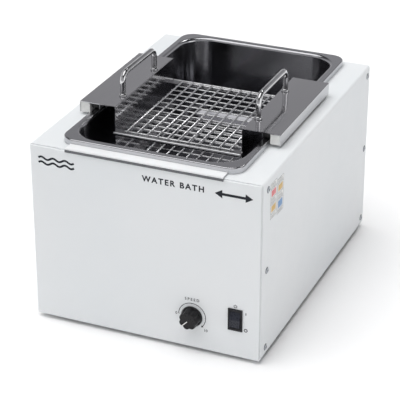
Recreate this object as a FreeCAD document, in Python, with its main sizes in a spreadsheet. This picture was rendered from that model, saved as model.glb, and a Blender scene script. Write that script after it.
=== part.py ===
import FreeCAD, Part

import Sketcher

import math
import os
import re

# Shaking water bath: a white sheet-steel case, a deep stainless tank let into its
# top, and a stainless carriage with two wire racks that rolls to and fro on the
# tank's rim, pushed from below by a crank. Millimetres, +Z up. The origin is the
# centre of the footprint, on the surface that the feet stand on. +Y is the back.

doc = FreeCAD.newDocument("WaterBath")
sheet = doc.addObject("Spreadsheet::Sheet", "Sizes")

SIZES = {
    "foot_height": 8, "foot_radius": 14, "foot_inset": 48,
    "case_width": 416, "case_depth": 552, "case_height": 325,
    "gauge": 1.5, "cover_lift": 3, "cover_inset": 2.5, "bend": 4,
    "fold": 32, "joint_gap": 0.3,
    "screw_head": 6.1, "screw_dome": 2.2, "screw_shank": 2, "screw_reach": 9,
    "front_screw": 25, "rear_screw": 14.5,
    "screw_low": 15, "screw_middle": 161, "screw_high": 308,
    "tank_shift": 8, "rim_width": 325, "rim_length": 530, "rim_rise": 11,
    "rim_corner": 26, "rim_roll": 2.5, "tank_gauge": 1, "tub_width": 296,
    "tub_length": 500, "tub_corner": 48, "tub_depth": 150, "tub_draft": 3.5,
    "tub_floor_round": 25, "tub_roll": 6,
    "strip_width": 281, "strip_rise": 3.5, "strip_drop": 3.5,
    "carriage_length": 242, "carriage_rest": -14, "stroke": 40,
    "channel_inner": 116.5, "channel_outer": 184.5, "plate_rise": 25,
    "channel_gauge": 1.2, "fascia": 20, "wall_drop": 92, "ledge": 12,
    "wire": 3, "cross_wire": 2.6, "wire_pitch": 19, "cross_pitch": 19.7,
    "upper_overhang": 6, "lower_overhang": 19,
    "upper_level": 20, "bar_depth": 16, "bar_height": 5, "bar_reach": 6,
    "roller_radius": 6, "roller_width": 15, "roller_middle": 158,
    "roller_end": 13, "axle_radius": 2,
    "block_width": 17, "block_length": 24, "cheek": 1.2,
    "handle_middle": 125.5, "handle_span": 130, "handle_shift": -6,
    "handle_rise": 45, "handle_rod": 10, "handle_bend": 16,
    "collar_radius": 7, "collar_height": 4.5,
    "pin_middle": 173, "pin_radius": 5, "slot_margin": 9, "slot_width": 12,
    "bridge_level": 104, "bridge_width": 330, "bridge_depth": 290,
    "bridge_gauge": 2.5, "rod_middle": 110, "rod_radius": 5, "rod_level": 130,
    "beam_gauge": 5, "beam_depth": 80, "beam_level": 146,
    "crank_throw": 20, "crank_radius": 32, "link_length": 95,
    "motor_radius": 32, "motor_height": 56, "gearbox_side": 74,
    "gearbox_height": 34,
    "knob_middle": 86, "knob_level": 60, "knob_radius": 19, "knob_height": 20,
    "switch_middle": 163.7, "switch_level": 71, "switch_width": 25.4,
    "switch_height": 40.5, "rocker_width": 19, "rocker_height": 32,
    "rocker_slope": 10, "rocker_crest": 8, "rocker_back": 5, "pivot_depth": 3.2,
    "past": 10, "weld_lap": 0.3, "tub_margin": 8.5,
    "box_wall": 1.2, "panel_play": 0.1, "bezel_depth": 2.2, "box_depth": 22,
    "tag_width": 6, "tag_length": 8, "tag_step": 10, "tag_gauge": 1,
    "spindle_radius": 3, "spindle_hole": 4, "pot_radius": 12, "pot_depth": 14,
    "pot_bush": 3.8, "knob_gap": 0.6, "skirt_height": 4, "skirt_step": 2,
    "flute_radius": 1.3, "knob_bore": 12,
    "inlet_middle": -130, "inlet_level": 55.5, "inlet_width": 28, "inlet_height": 21,
    "flange_width": 50, "flange_height": 23, "flange_depth": 3,
    "fuse_middle": -90, "fuse_level": 55, "fuse_cap": 8, "fuse_barrel": 6,
    "louvre_length": 50, "louvre_height": 4, "louvre_step": 12, "louvre_low": 40,
    "louvre_first": 30, "louvre_columns": 70,
    "tray_depth": 14, "vent_length": 120, "vent_width": 5, "vent_step": 20,
    "vent_first": -60, "foot_bolt": 2, "foot_bolt_head": 4, "foot_recess": 4.5,
    "sole_width": 22, "shaft_hole": 12, "rod_end": 15, "rod_overhang": 8,
    "rod_block_width": 26, "rod_block_depth": 16, "rod_block_rise": 10,
    "bush_wall": 3, "bush_length": 18, "beam_ends": 15, "beam_box_width": 28,
    "beam_box_drop": 12, "arm_width": 36, "arm_foot_width": 24, "arm_foot_length": 50,
    "arm_gauge": 3, "arm_seat_width": 18, "arm_seat_length": 22, "arm_seat_gauge": 4,
    "arm_drop": 14, "pin_rise": 18, "disc_gauge": 6, "disc_rise": 8, "hub_radius": 9,
    "hub_rise": 3, "crank_pin_radius": 4, "crank_pin_height": 7.5, "shaft_radius": 5,
    "link_rise": 22, "link_width": 12, "link_gauge": 5, "eye_radius": 11,
    "pivot_radius": 4, "pivot_head": 7, "pivot_head_height": 1.5, "gearbox_corner": 4,
    "stud_radius": 3, "stud_reach": 12, "nut_radius": 5.5, "nut_height": 4.5,
    "block_foot": 5.5, "cheek_width": 14, "cheek_below": 5,
    "socket_width": 18, "socket_length": 26, "socket_foot": 3,
    "board_middle": 40, "board_length": 100, "board_depth": 70, "board_back": -190,
    "board_gauge": 1.6, "board_rise": 16, "post_radius": 3,
    "post_across": 88, "post_along": 58,
}

for row, (alias, value) in enumerate(SIZES.items(), start=1):
    sheet.set(f"A{row}", alias)
    sheet.set(f"B{row}", str(value))
    sheet.setAlias(f"B{row}", alias)
doc.recompute()

NODES = []


def size(alias):
    """The number in one cell of the sheet."""
    return float(sheet.get(alias))


def bind(thing, prop, formula):
    """Bind a property to the sheet; every word in the formula is an alias."""
    thing.setExpression(prop, re.sub(r"[a-z][a-z_]+", lambda m: "Sizes." + m.group(), formula))


def place(thing, x, y, z):
    bind(thing, "Placement.Base.x", x)
    bind(thing, "Placement.Base.y", y)
    bind(thing, "Placement.Base.z", z)


def block(name, length, width, height, x, y, z):
    """A box centred on x and y that stands on z."""
    box = doc.addObject("Part::Box", name)
    bind(box, "Length", length)
    bind(box, "Width", width)
    bind(box, "Height", height)
    place(box, f"{x} - ({length}) / 2", f"{y} - ({width}) / 2", z)
    return box


TURNS = {
    "X": FreeCAD.Rotation(FreeCAD.Vector(0, 1, 0), 90),
    "Y": FreeCAD.Rotation(FreeCAD.Vector(1, 0, 0), -90),
    "Z": FreeCAD.Rotation(),
}


def cylinder(name, radius, length, x, y, z, axis="Z"):
    """A cylinder that starts at x, y, z and runs along +axis."""
    rod = doc.addObject("Part::Cylinder", name)
    bind(rod, "Radius", radius)
    bind(rod, "Height", length)
    rod.Placement = FreeCAD.Placement(FreeCAD.Vector(), TURNS[axis])
    place(rod, x, y, z)
    return rod


def fuse(name, shapes):
    joined = doc.addObject("Part::MultiFuse", name)
    joined.Shapes = shapes
    joined.Refine = True
    return joined


def group(name, shapes):
    bunch = doc.addObject("Part::Compound", name)
    bunch.Links = shapes
    return bunch


def cut(name, base, tools):
    tool = tools[0] if len(tools) == 1 else fuse(name + "_tools", tools)
    rest = doc.addObject("Part::Cut", name)
    rest.Base = base
    rest.Tool = tool
    return rest


def rounded(name, base, radius, wanted):
    """Fillet the edges of base that the test wanted picks out."""
    doc.recompute()
    edges = [n for n, edge in enumerate(base.Shape.Edges, start=1) if wanted(edge)]
    fillet = doc.addObject("Part::Fillet", name)
    fillet.Base = base
    fillet.Edges = [(n, radius, radius) for n in edges]
    doc.recompute()
    return fillet


def runs_along(axis):
    """A test for straight edges parallel to one axis."""
    def test(edge):
        if edge.Curve.TypeId != "Part::GeomLine":
            return False
        return abs(getattr(edge.Curve.Direction, axis)) > 0.999
    return test


def node(thing, label):
    """Name a finished sub-part: its label is its file's name."""
    thing.Label = label
    NODES.append(thing)
    return thing


def signed(sign, formula):
    return formula if sign > 0 else f"-({formula})"


SIDES = (("left", -1), ("right", 1))
ENDS = (("front", -1), ("rear", 1))
CORNERS = [(f"{end}_{side}", ex, sy) for side, ex in SIDES for end, sy in ENDS]

# Levels and places that many pieces share, as formulas of the sheet's cells.
TOP = "(foot_height + case_height)"
RIM_TOP = f"({TOP} + rim_rise)"
PLATE_TOP = f"({TOP} + plate_rise)"
PLATE_UNDER = f"({PLATE_TOP} - channel_gauge)"
RACK_TOP = f"({TOP} - upper_level)"
LEDGE_TOP = f"({TOP} - wall_drop + channel_gauge)"
TUB_WIDTH = "(tub_width + 2 * tank_gauge)"
TUB_LENGTH = "(tub_length + 2 * tank_gauge)"
CRANK_Y = "(carriage_rest + link_length + crank_throw)"


# ---------------------------------------------------------------- sketch helpers

def origin_plane(body, role):
    return [f for f in body.Origin.OriginFeatures if f.Role == role][0]


def rounded_rectangle(body, name, width, length, radius, y, level):
    """A fully constrained rounded rectangle on a plane parallel to XY."""
    sketch = body.newObject("Sketcher::SketchObject", name)
    sketch.AttachmentSupport = [(origin_plane(body, "XY_Plane"), "")]
    sketch.MapMode = "FlatFace"
    bind(sketch, "AttachmentOffset.Base.y", y)
    bind(sketch, "AttachmentOffset.Base.z", level)
    a, b, r = 100.0, 150.0, 20.0
    corners = [(a, b), (-a, b), (-a, -b), (a, -b)]
    turns = [(0, 90), (90, 180), (180, 270), (270, 360)]
    up = FreeCAD.Vector(0, 0, 1)
    for (cx, cy), (start, end) in zip(corners, turns):
        circle = Part.Circle(FreeCAD.Vector(cx, cy, 0), up, r)
        sketch.addGeometry(Part.ArcOfCircle(circle, math.radians(start), math.radians(end)))
    sides = [((a, b + r), (-a, b + r)), ((-a - r, b), (-a - r, -b)),
             ((-a, -b - r), (a, -b - r)), ((a + r, -b), (a + r, b))]
    for (x1, y1), (x2, y2) in sides:
        sketch.addGeometry(Part.LineSegment(FreeCAD.Vector(x1, y1, 0), FreeCAD.Vector(x2, y2, 0)))
    arcs, lines = (0, 1, 2, 3), (4, 5, 6, 7)
    limits = []
    for n in range(4):
        limits.append(Sketcher.Constraint("Tangent", arcs[n], 2, lines[n], 1))
        limits.append(Sketcher.Constraint("Tangent", lines[n], 2, arcs[(n + 1) % 4], 1))
    limits += [Sketcher.Constraint("Horizontal", 4), Sketcher.Constraint("Horizontal", 6)]
    limits += [Sketcher.Constraint("Vertical", 5), Sketcher.Constraint("Vertical", 7)]
    limits += [Sketcher.Constraint("Equal", 0, n) for n in (1, 2, 3)]
    limits.append(Sketcher.Constraint("Symmetric", 0, 3, 2, 3, -1, 1))
    sketch.addConstraint(limits)
    for label, kind, spots, start, formula in (
            ("radius", "Radius", (0,), r, radius),
            ("across", "DistanceX", (5, 1, 7, 1), 2 * (a + r), width),
            ("along", "DistanceY", (6, 1, 4, 1), 2 * (b + r), length)):
        index = sketch.addConstraint(Sketcher.Constraint(kind, *spots, start))
        sketch.renameConstraint(index, label)
        bind(sketch, f"Constraints.{label}", formula)
    doc.recompute()
    return sketch


def pad(body, name, sketch, length, reverse=False, taper=None, pocket=False):
    """Pad a sketch, or pocket it, and bind its length and draft."""
    feature = body.newObject("PartDesign::Pocket" if pocket else "PartDesign::Pad", name)
    feature.Profile = sketch
    bind(feature, "Length", length)
    feature.Reversed = reverse
    if taper:
        bind(feature, "TaperAngle", taper)
    doc.recompute()
    return feature


def dress(body, name, base, radius, wanted):
    """Fillet the edges of the body's last feature that the test wanted picks."""
    edges = [f"Edge{n}" for n, edge in enumerate(base.Shape.Edges, start=1) if wanted(edge)]
    fillet = body.newObject("PartDesign::Fillet", name)
    fillet.Base = (base, edges)
    bind(fillet, "Radius", radius)
    doc.recompute()
    return fillet


def reach(edge):
    """How far an edge spreads from the tank's centre, along X and along Y."""
    box = edge.BoundBox
    middle = size("tank_shift")
    return max(abs(box.XMin), abs(box.XMax)), max(abs(box.YMin - middle), abs(box.YMax - middle))


def flat_at(level, around=""):
    """A test for the level edges around the tank's mouth or rim, or for all of them."""
    def test(edge):
        box = edge.BoundBox
        if abs(box.ZMin - level) > 0.05 or abs(box.ZMax - level) > 0.05:
            return False
        across, along = reach(edge)
        at_rim = across > size("rim_width") / 2 - 0.1 or along > size("rim_length") / 2 - 0.1
        return not around or at_rim == (around == "rim")
    return test


# ---------------------------------------------------------------- the case

def screw(name, y, z, sign):
    """A round-headed screw in a side wall: shank inwards, head outside."""
    wall = signed(sign, "case_width / 2")
    length = "screw_reach + 1"
    if sign > 0:
        shank = cylinder(name + "_shank", "screw_shank", length, f"{wall} - screw_reach", y, z, "X")
        head = cylinder(name + "_head", "screw_head", "screw_dome", wall, y, z, "X")
    else:
        shank = cylinder(name + "_shank", "screw_shank", length, f"{wall} - 1", y, z, "X")
        head = cylinder(name + "_head", "screw_head", "screw_dome", f"{wall} - screw_dome", y, z,
                        "X")
    return fuse(name, [shank, head])


def side_screws():
    made = []
    for side, sign in SIDES:
        for column, y in (("front", "-(case_depth / 2 - front_screw)"),
                          ("rear", "case_depth / 2 - rear_screw")):
            for row in ("low", "middle", "high"):
                level = f"foot_height + screw_{row}"
                made.append(screw(f"screw_{side}_{column}_{row}", y, level, sign))
    return made


def screw_holes():
    """Clearance holes through both side walls, one bar for each pair."""
    bars = []
    for column, y in (("front", "-(case_depth / 2 - front_screw)"),
                      ("rear", "case_depth / 2 - rear_screw")):
        for row in ("low", "middle", "high"):
            bars.append(cylinder(f"hole_{column}_{row}", "screw_shank", "case_width + 2 * past",
                                 "-(case_width / 2 + past)", y, f"foot_height + screw_{row}", "X"))
    return bars


def tub_hole(name):
    """The rounded opening that the tank drops through, as a prism."""
    body = doc.addObject("PartDesign::Body", name)
    outline = rounded_rectangle(body, name + "_outline", "rim_width - 2 * tub_margin",
                                "rim_length - 2 * tub_margin",
                                "tub_corner", "tank_shift", f"{TOP} - past")
    pad(body, name + "_pad", outline, "2 * past")
    return body


def wrap_cover():
    outer = block("cover_outer", "case_width", "case_depth - 2 * cover_inset",
                  "case_height - cover_lift", "0", "0", "foot_height + cover_lift")
    soft = rounded("cover_soft", outer, size("bend"),
                   lambda e: runs_along("y")(e) and e.BoundBox.ZMin > size("case_height"))
    inner = block("cover_inner", "case_width - 2 * gauge", "case_depth",
                  "case_height - gauge", "0", "0", "foot_height")
    slots = []
    for side, sign in SIDES:
        slots.append(block(f"cover_slot_{side}", "slot_width", "stroke + 2 * slot_margin",
                           "2 * past", signed(sign, "pin_middle"), "carriage_rest + stroke / 2",
                           f"{TOP} - past"))
    return cut("cover_cut", soft, [inner, tub_hole("cover_opening")] + slots + screw_holes())


def end_panel(end, sign, cutouts):
    """A front or rear panel: a face with folds that run back inside the cover."""
    width = "case_width - 2 * gauge - 2 * joint_gap"
    height = "case_height - gauge - joint_gap"
    face_y = signed(sign, "case_depth / 2 - fold / 2")
    outer = block(f"{end}_outer", width, "fold", height, "0", face_y, "foot_height")
    soft = rounded(f"{end}_soft", outer, size("gauge"),
                   lambda e: sign * e.BoundBox.YMin > size("case_depth") / 2 - 1
                   and sign * e.BoundBox.YMax > size("case_depth") / 2 - 1)
    hollow_y = signed(sign, "case_depth / 2 - fold / 2 - gauge")
    hollow = block(f"{end}_hollow", f"{width} - 2 * gauge", "fold",
                   f"{height} - 2 * gauge", "0", hollow_y, "foot_height + gauge")
    well = tub_hole(f"{end}_well")
    return cut(f"{end}_cut", soft, [hollow, well] + screw_holes() + cutouts)


def front_cutouts():
    room = "2 * box_wall + 2 * panel_play"
    hole = cylinder("panel_hole", "spindle_hole", "2 * past", "knob_middle",
                    "-(case_depth / 2) - past", "foot_height + knob_level", "Y")
    window = block("switch_window", f"rocker_width + {room}", "past", f"rocker_height + {room}",
                   "switch_middle", "-(case_depth / 2)",
                   f"foot_height + switch_level - (rocker_height + {room}) / 2")
    return [hole, window]


def rear_cutouts():
    inlet = block("inlet_window", "inlet_width", "past", "inlet_height", "inlet_middle",
                  "case_depth / 2", "foot_height + inlet_level - inlet_height / 2")
    fuse_hole = cylinder("fuse_window", "fuse_barrel + joint_gap", "2 * past", "fuse_middle",
                         "case_depth / 2 - past", "foot_height + fuse_level", "Y")
    louvres = []
    for column in (0, 1):
        for row in range(8):
            louvres.append(block(f"louvre_{column}_{row}", "louvre_length", "past", "louvre_height",
                                 f"louvre_first + louvre_columns * {column}", "case_depth / 2",
                                 f"foot_height + louvre_low + louvre_step * {row}"))
    return [inlet, fuse_hole] + louvres


def base_plate():
    tray = block("base_outer", "case_width - 4 * gauge - 4 * joint_gap",
                 "case_depth - 4 * gauge - 4 * joint_gap", "tray_depth", "0", "0",
                 "foot_height + gauge + joint_gap")
    hollow = block("base_hollow", "case_width - 8 * gauge", "case_depth - 8 * gauge",
                   "tray_depth", "0", "0", "foot_height + 2 * gauge + joint_gap")
    holes = []
    for name, ex, sy in CORNERS:
        holes.append(cylinder(f"base_hole_{name}", "foot_bolt + 0.5", "past",
                              signed(ex, "case_width / 2 - foot_inset"),
                              signed(sy, "case_depth / 2 - foot_inset"), "foot_height - 2"))
    relief = [block(f"base_vent_{n}", "vent_length", "vent_width", "past", "0",
                    f"vent_first + vent_step * {n}", "foot_height - 2") for n in range(7)]
    corner = [block(f"base_corner_{name}", "10", "80", "20", signed(ex, "case_width / 2 - 5"),
                    signed(sy, "case_depth / 2 - 5"), "foot_height + gauge + 3")
              for name, ex, sy in CORNERS]
    return cut("base_cut", tray, [hollow] + holes + relief + corner)


def feet():
    for name, ex, sy in CORNERS:
        x = signed(ex, "case_width / 2 - foot_inset")
        y = signed(sy, "case_depth / 2 - foot_inset")
        pad_height = "foot_height + gauge + joint_gap"
        puck = cylinder(f"puck_{name}", "foot_radius", pad_height, x, y, "0")
        soft = rounded(f"puck_soft_{name}", puck, 2, lambda e: e.BoundBox.ZMax < 0.1
                       and e.Curve.TypeId == "Part::GeomCircle")
        recess = cylinder(f"puck_recess_{name}", "foot_recess", "6", x, y, "-1")
        bore = cylinder(f"puck_bore_{name}", "foot_bolt", "2 * past", x, y, "-1")
        node(cut(f"puck_cut_{name}", soft, [recess, bore]), f"foot_{name}")


def foot_screws():
    made = []
    for name, ex, sy in CORNERS:
        x = signed(ex, "case_width / 2 - foot_inset")
        y = signed(sy, "case_depth / 2 - foot_inset")
        shank = cylinder(f"foot_shank_{name}", "foot_bolt", "14", x, y, "5")
        head = cylinder(f"foot_head_{name}", "foot_bolt_head", "2.5", x, y, "2.5")
        made.append(fuse(f"foot_screw_{name}", [shank, head]))
    return made


node(wrap_cover(), "wrap_cover")
node(end_panel("front", -1, front_cutouts()), "front_panel")
node(end_panel("rear", 1, rear_cutouts()), "rear_panel")
node(base_plate(), "base_plate")
node(group("case_screw_set", side_screws()), "case_screws")
feet()
node(group("foot_screw_set", foot_screws()), "foot_screws")


# ---------------------------------------------------------------- the tank

def drawn_tub():
    """Flat rim and drafted tub with round floor edges and a rolled mouth."""
    body = doc.addObject("PartDesign::Body", "tub_body")
    rim_top = size("foot_height") + size("case_height") + size("rim_rise")
    rim = rounded_rectangle(body, "rim_outline", "rim_width", "rim_length", "rim_corner",
                            "tank_shift", RIM_TOP)
    pad(body, "rim_pad", rim, "tank_gauge", reverse=True)
    shell = rounded_rectangle(body, "shell_outline", TUB_WIDTH, TUB_LENGTH,
                              "tub_corner + tank_gauge", "tank_shift", RIM_TOP)
    pad(body, "tub_pad", shell, "tub_depth + tank_gauge", reverse=True, taper="-tub_draft")
    mouth = rounded_rectangle(body, "mouth_outline", "tub_width", "tub_length", "tub_corner",
                              "tank_shift", RIM_TOP)
    cavity = pad(body, "cavity", mouth, "tub_depth", pocket=True, taper="-tub_draft")
    inside = dress(body, "inside_round", cavity, "tub_floor_round",
                   flat_at(rim_top - size("tub_depth")))
    belly = dress(body, "belly", inside, "tub_floor_round + tank_gauge",
                  flat_at(rim_top - size("tub_depth") - size("tank_gauge")))
    neck = dress(body, "neck", belly, "tub_roll - tank_gauge",
                 flat_at(rim_top - size("tank_gauge"), "mouth"))
    dress(body, "rolled_mouth", neck, "tub_roll", flat_at(rim_top, "mouth"))
    return body


def turned_lip():
    """The rim's edge, turned down as a ring that stops just above the case."""
    body = doc.addObject("PartDesign::Body", "lip_body")
    outer = rounded_rectangle(body, "lip_outer", "rim_width", "rim_length", "rim_corner",
                              "tank_shift", RIM_TOP)
    pad(body, "lip_pad", outer, "rim_rise - joint_gap", reverse=True)
    inner = rounded_rectangle(body, "lip_inner", "rim_width - 2 * tank_gauge",
                              "rim_length - 2 * tank_gauge", "rim_corner - tank_gauge",
                              "tank_shift", RIM_TOP)
    pad(body, "lip_hollow", inner, "rim_rise + 5", pocket=True)
    return body


def rim_strip(end, sign, rise):
    """A folded strip along a short side of the rim, over the edge of the case."""
    rim_edge = signed(sign, "rim_length / 2") + " + tank_shift"
    outside = signed(sign, "case_depth / 2 + channel_gauge + joint_gap")
    depth = f"(case_depth / 2 + channel_gauge + joint_gap) - ({signed(sign, rim_edge)}) - joint_gap"
    middle = f"{outside} - {sign} * ({depth}) / 2"
    shelf = block(f"{end}_shelf", "strip_width", depth, "channel_gauge", "0", middle,
                  f"{TOP} + {rise} - channel_gauge")
    front = block(f"{end}_drop", "strip_width", "channel_gauge", f"{rise} + strip_drop", "0",
                  f"{outside} - {sign} * channel_gauge / 2", f"{TOP} - strip_drop")
    return fuse(f"{end}_strip", [shelf, front])


whole_tank = fuse("tank_fuse", [drawn_tub(), turned_lip()])
rim_level = size("foot_height") + size("case_height") + size("rim_rise")
node(rounded("tank_soft", whole_tank, size("rim_roll"),
             flat_at(rim_level, "rim")), "tank")
node(rim_strip("front", -1, "strip_rise"), "rim_strip_front")
node(rim_strip("rear", 1, "strip_rise"), "rim_strip_rear")


# ---------------------------------------------------------------- the drive under the tank

BRIDGE_TOP = "(bridge_level + bridge_gauge)"
BEAM_TOP = "(beam_level + beam_gauge)"


def drive_bridge():
    """A folded steel table over the base plate that carries the rods and the gearmotor."""
    floor = "foot_height + 2 * gauge + joint_gap"
    top = block("bridge_top", "bridge_width", "bridge_depth", "bridge_gauge", "0", "stroke",
                "bridge_level")
    legs = []
    for side, sign in SIDES:
        legs.append(block(f"bridge_leg_{side}", "bridge_gauge", "bridge_depth",
                          f"{BRIDGE_TOP} - ({floor})",
                          signed(sign, "(bridge_width - bridge_gauge) / 2"), "stroke", floor))
        legs.append(block(f"bridge_sole_{side}", "sole_width", "bridge_depth", "bridge_gauge",
                          signed(sign, "(bridge_width + sole_width) / 2 - 3"), "stroke", floor))
    whole = fuse("bridge_fuse", [top] + legs)
    shaft = cylinder("bridge_shaft_hole", "shaft_hole", "2 * past", "0", CRANK_Y,
                     "bridge_level - past")
    return cut("bridge_cut", whole, [shaft])


def rod_places():
    return [(f"{end}_{side}", signed(ex, "rod_middle"), end, sy)
            for side, ex in SIDES for end, sy in ENDS]


ROD_SPAN = "(bridge_depth / 2 - rod_end)"


def rod_blocks():
    made = []
    for name, x, end, sign in rod_places():
        y = f"stroke + {signed(sign, ROD_SPAN)}"
        body = block(f"rod_block_{name}", "rod_block_width", "rod_block_depth",
                     f"rod_level + rod_block_rise - {BRIDGE_TOP}", x, y, BRIDGE_TOP)
        bore = cylinder(f"rod_bore_{name}", "rod_radius", "2 * past", x, f"{y} - past", "rod_level",
                        "Y")
        made.append(cut(f"rod_block_cut_{name}", body, [bore]))
    return made


def guide_rods():
    return [cylinder(f"guide_rod_{side}", "rod_radius", f"2 * ({ROD_SPAN} + rod_overhang)",
                     signed(sign, "rod_middle"), f"stroke - {ROD_SPAN} - rod_overhang",
                     "rod_level", "Y")
            for side, sign in SIDES]


def drive_beam():
    """The cross beam that slides on the two rods, with a bearing box over each rod."""
    plate = block("beam_plate", "2 * (pin_middle + beam_ends)", "beam_depth", "beam_gauge", "0",
                  "carriage_rest", "beam_level")
    boxes = []
    bores = []
    for side, sign in SIDES:
        x = signed(sign, "rod_middle")
        boxes.append(block(f"beam_box_{side}", "beam_box_width", "beam_depth",
                           "beam_level - rod_level + beam_box_drop", x, "carriage_rest",
                           "rod_level - beam_box_drop"))
        bores.append(cylinder(f"beam_bore_{side}", "rod_radius + bush_wall",
                              "beam_depth + 2 * past", x,
                              "carriage_rest - beam_depth / 2 - past", "rod_level", "Y"))
    return cut("beam_cut", fuse("beam_fuse", [plate] + boxes), bores)


def beam_bushes():
    made = []
    for side, sign in SIDES:
        x = signed(sign, "rod_middle")
        for end, sy in ENDS:
            y = f"carriage_rest + {signed(sy, '(beam_depth - bush_length) / 2')}"
            sleeve = cylinder(f"bush_sleeve_{end}_{side}", "rod_radius + bush_wall", "bush_length",
                              x, f"{y} - bush_length / 2", "rod_level", "Y")
            bore = cylinder(f"bush_bore_{end}_{side}", "rod_radius + joint_gap",
                            "bush_length + past", x, f"{y} - (bush_length + past) / 2",
                            "rod_level", "Y")
            made.append(cut(f"bush_{end}_{side}", sleeve, [bore]))
    return made


def drive_arm(side, sign):
    """A folded arm from the beam up beside the tank, with the pin that lifts through the top."""
    x = signed(sign, "pin_middle")
    foot = block(f"arm_foot_{side}", "arm_foot_width", "arm_foot_length", "arm_gauge", x,
                 "carriage_rest", BEAM_TOP)
    web = block(f"arm_web_{side}", "arm_gauge", "arm_width", f"{TOP} - arm_drop - {BEAM_TOP}",
                x, "carriage_rest", BEAM_TOP)
    seat = block(f"arm_seat_{side}", "arm_seat_width", "arm_seat_length", "arm_seat_gauge", x,
                 "carriage_rest", f"{TOP} - arm_drop - arm_seat_gauge")
    pin = cylinder(f"arm_pin_{side}", "pin_radius", "arm_drop + pin_rise", x, "carriage_rest",
                   f"{TOP} - arm_drop")
    return fuse(f"arm_{side}", [foot, web, seat, pin])


def crank():
    """A disc on the gearbox shaft, with a hub below and the crank pin on top."""
    disc = cylinder("crank_plate", "crank_radius", "disc_gauge", "0", CRANK_Y,
                    "bridge_level + disc_rise")
    hub = cylinder("crank_hub", "hub_radius", "disc_gauge", "0", CRANK_Y,
                   "bridge_level + hub_rise")
    return fuse("crank_fuse", [disc, hub])


PIN_BASE = "(bridge_level + disc_rise + disc_gauge)"
LINK_LEVEL = "(bridge_level + link_rise)"


def link():
    """The connecting rod, from over the crank pin to the pivot under the beam."""
    far = "carriage_rest"
    near = f"{CRANK_Y} - crank_throw"
    bar = block("link_bar", "link_width", "link_length", "link_gauge", "0",
                "carriage_rest + link_length / 2", LINK_LEVEL)
    eyes = []
    bores = []
    for end, y, bore in (("far", far, "pivot_radius + joint_gap"),
                         ("near", near, "crank_pin_radius + 1")):
        eyes.append(cylinder(f"link_{end}_eye", "eye_radius", "link_gauge", "0", y, LINK_LEVEL))
        bores.append(cylinder(f"link_{end}_bore", bore, "2 * past", "0", y, f"{LINK_LEVEL} - past"))
    return cut("link_cut", fuse("link_fuse", [bar] + eyes), bores)


def pivot_pin():
    """The headed pin under the beam that the connecting rod swings on."""
    stem = cylinder("pivot_stem", "pivot_radius", f"beam_level - {LINK_LEVEL} + 2", "0",
                    "carriage_rest", f"{LINK_LEVEL} - 2")
    head = cylinder("pivot_cap", "pivot_head", "pivot_head_height", "0", "carriage_rest",
                    f"{LINK_LEVEL} - 2 * pivot_head_height")
    return fuse("pivot_fuse", [stem, head])


node(drive_bridge(), "drive_bridge")
node(group("rod_block_set", rod_blocks()), "rod_blocks")
node(group("guide_rod_set", guide_rods()), "guide_rods")
gearbox = block("gearbox_case", "gearbox_side", "gearbox_side", "gearbox_height", "0", CRANK_Y,
                "bridge_level - gearbox_height")
node(rounded("gearbox_soft", gearbox, size("gearbox_corner"), runs_along("z")), "gearbox")
node(cylinder("motor_case", "motor_radius", "motor_height", "0", CRANK_Y,
              "bridge_level - gearbox_height - motor_height"), "motor")
node(cylinder("output_shaft_rod", "shaft_radius", "disc_rise + disc_gauge - joint_gap", "0", CRANK_Y,
              "bridge_level + joint_gap"), "output_shaft")
node(drive_beam(), "drive_beam")
node(group("beam_bush_set", beam_bushes()), "beam_bushes")
for side, sign in SIDES:
    node(drive_arm(side, sign), f"drive_arm_{side}")
node(pivot_pin(), "pivot_pin")
shaft_bore = cylinder("crank_bore", "shaft_radius", "4 * past", "0", CRANK_Y, "bridge_level - past")
node(cut("crank_disc_cut", crank(), [shaft_bore]), "crank_disc")
node(cylinder("crank_pin_rod", "crank_pin_radius", "crank_pin_height", "0",
              f"{CRANK_Y} - crank_throw", PIN_BASE), "crank_pin")
node(link(), "connecting_rod")


# ---------------------------------------------------------------- the carriage

def channel(side, sign):
    """One folded side: fascia, top plate, deep inner wall and the ledge under the racks."""
    outer = signed(sign, "channel_outer - channel_gauge / 2")
    inner = signed(sign, "channel_inner + channel_gauge / 2")
    top = block(f"channel_top_{side}", "channel_outer - channel_inner", "carriage_length",
                "channel_gauge", signed(sign, "(channel_outer + channel_inner) / 2"),
                "carriage_rest", PLATE_UNDER)
    fascia = block(f"channel_fascia_{side}", "channel_gauge", "carriage_length", "fascia",
                   outer, "carriage_rest", f"{PLATE_TOP} - fascia")
    wall = block(f"channel_wall_{side}", "channel_gauge", "carriage_length + 4",
                 "plate_rise + wall_drop", inner, "carriage_rest", f"{TOP} - wall_drop")
    ledge = block(f"channel_ledge_{side}", "ledge", "carriage_length + 4", "channel_gauge",
                  signed(sign, "channel_inner + channel_gauge - ledge / 2"), "carriage_rest",
                  f"{TOP} - wall_drop")
    whole = fuse(f"channel_fuse_{side}", [top, fascia, wall, ledge])
    holes = []
    for end, sy in ENDS:
        y = f"carriage_rest + handle_shift + {signed(sy, 'handle_span / 2')}"
        holes.append(cylinder(f"handle_hole_{end}_{side}", "stud_radius", "2 * past",
                              signed(sign, "handle_middle"), y, f"{PLATE_TOP} - past"))
    pierced = cut(f"channel_cut_{side}", whole, holes)
    level = size("foot_height") + size("case_height") + size("plate_rise")
    return rounded(f"channel_soft_{side}", pierced, size("channel_gauge"),
                   lambda e: runs_along("y")(e) and abs(e.BoundBox.ZMax - level) < 0.05
                   and e.BoundBox.YLength > size("carriage_length") - 1)


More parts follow.
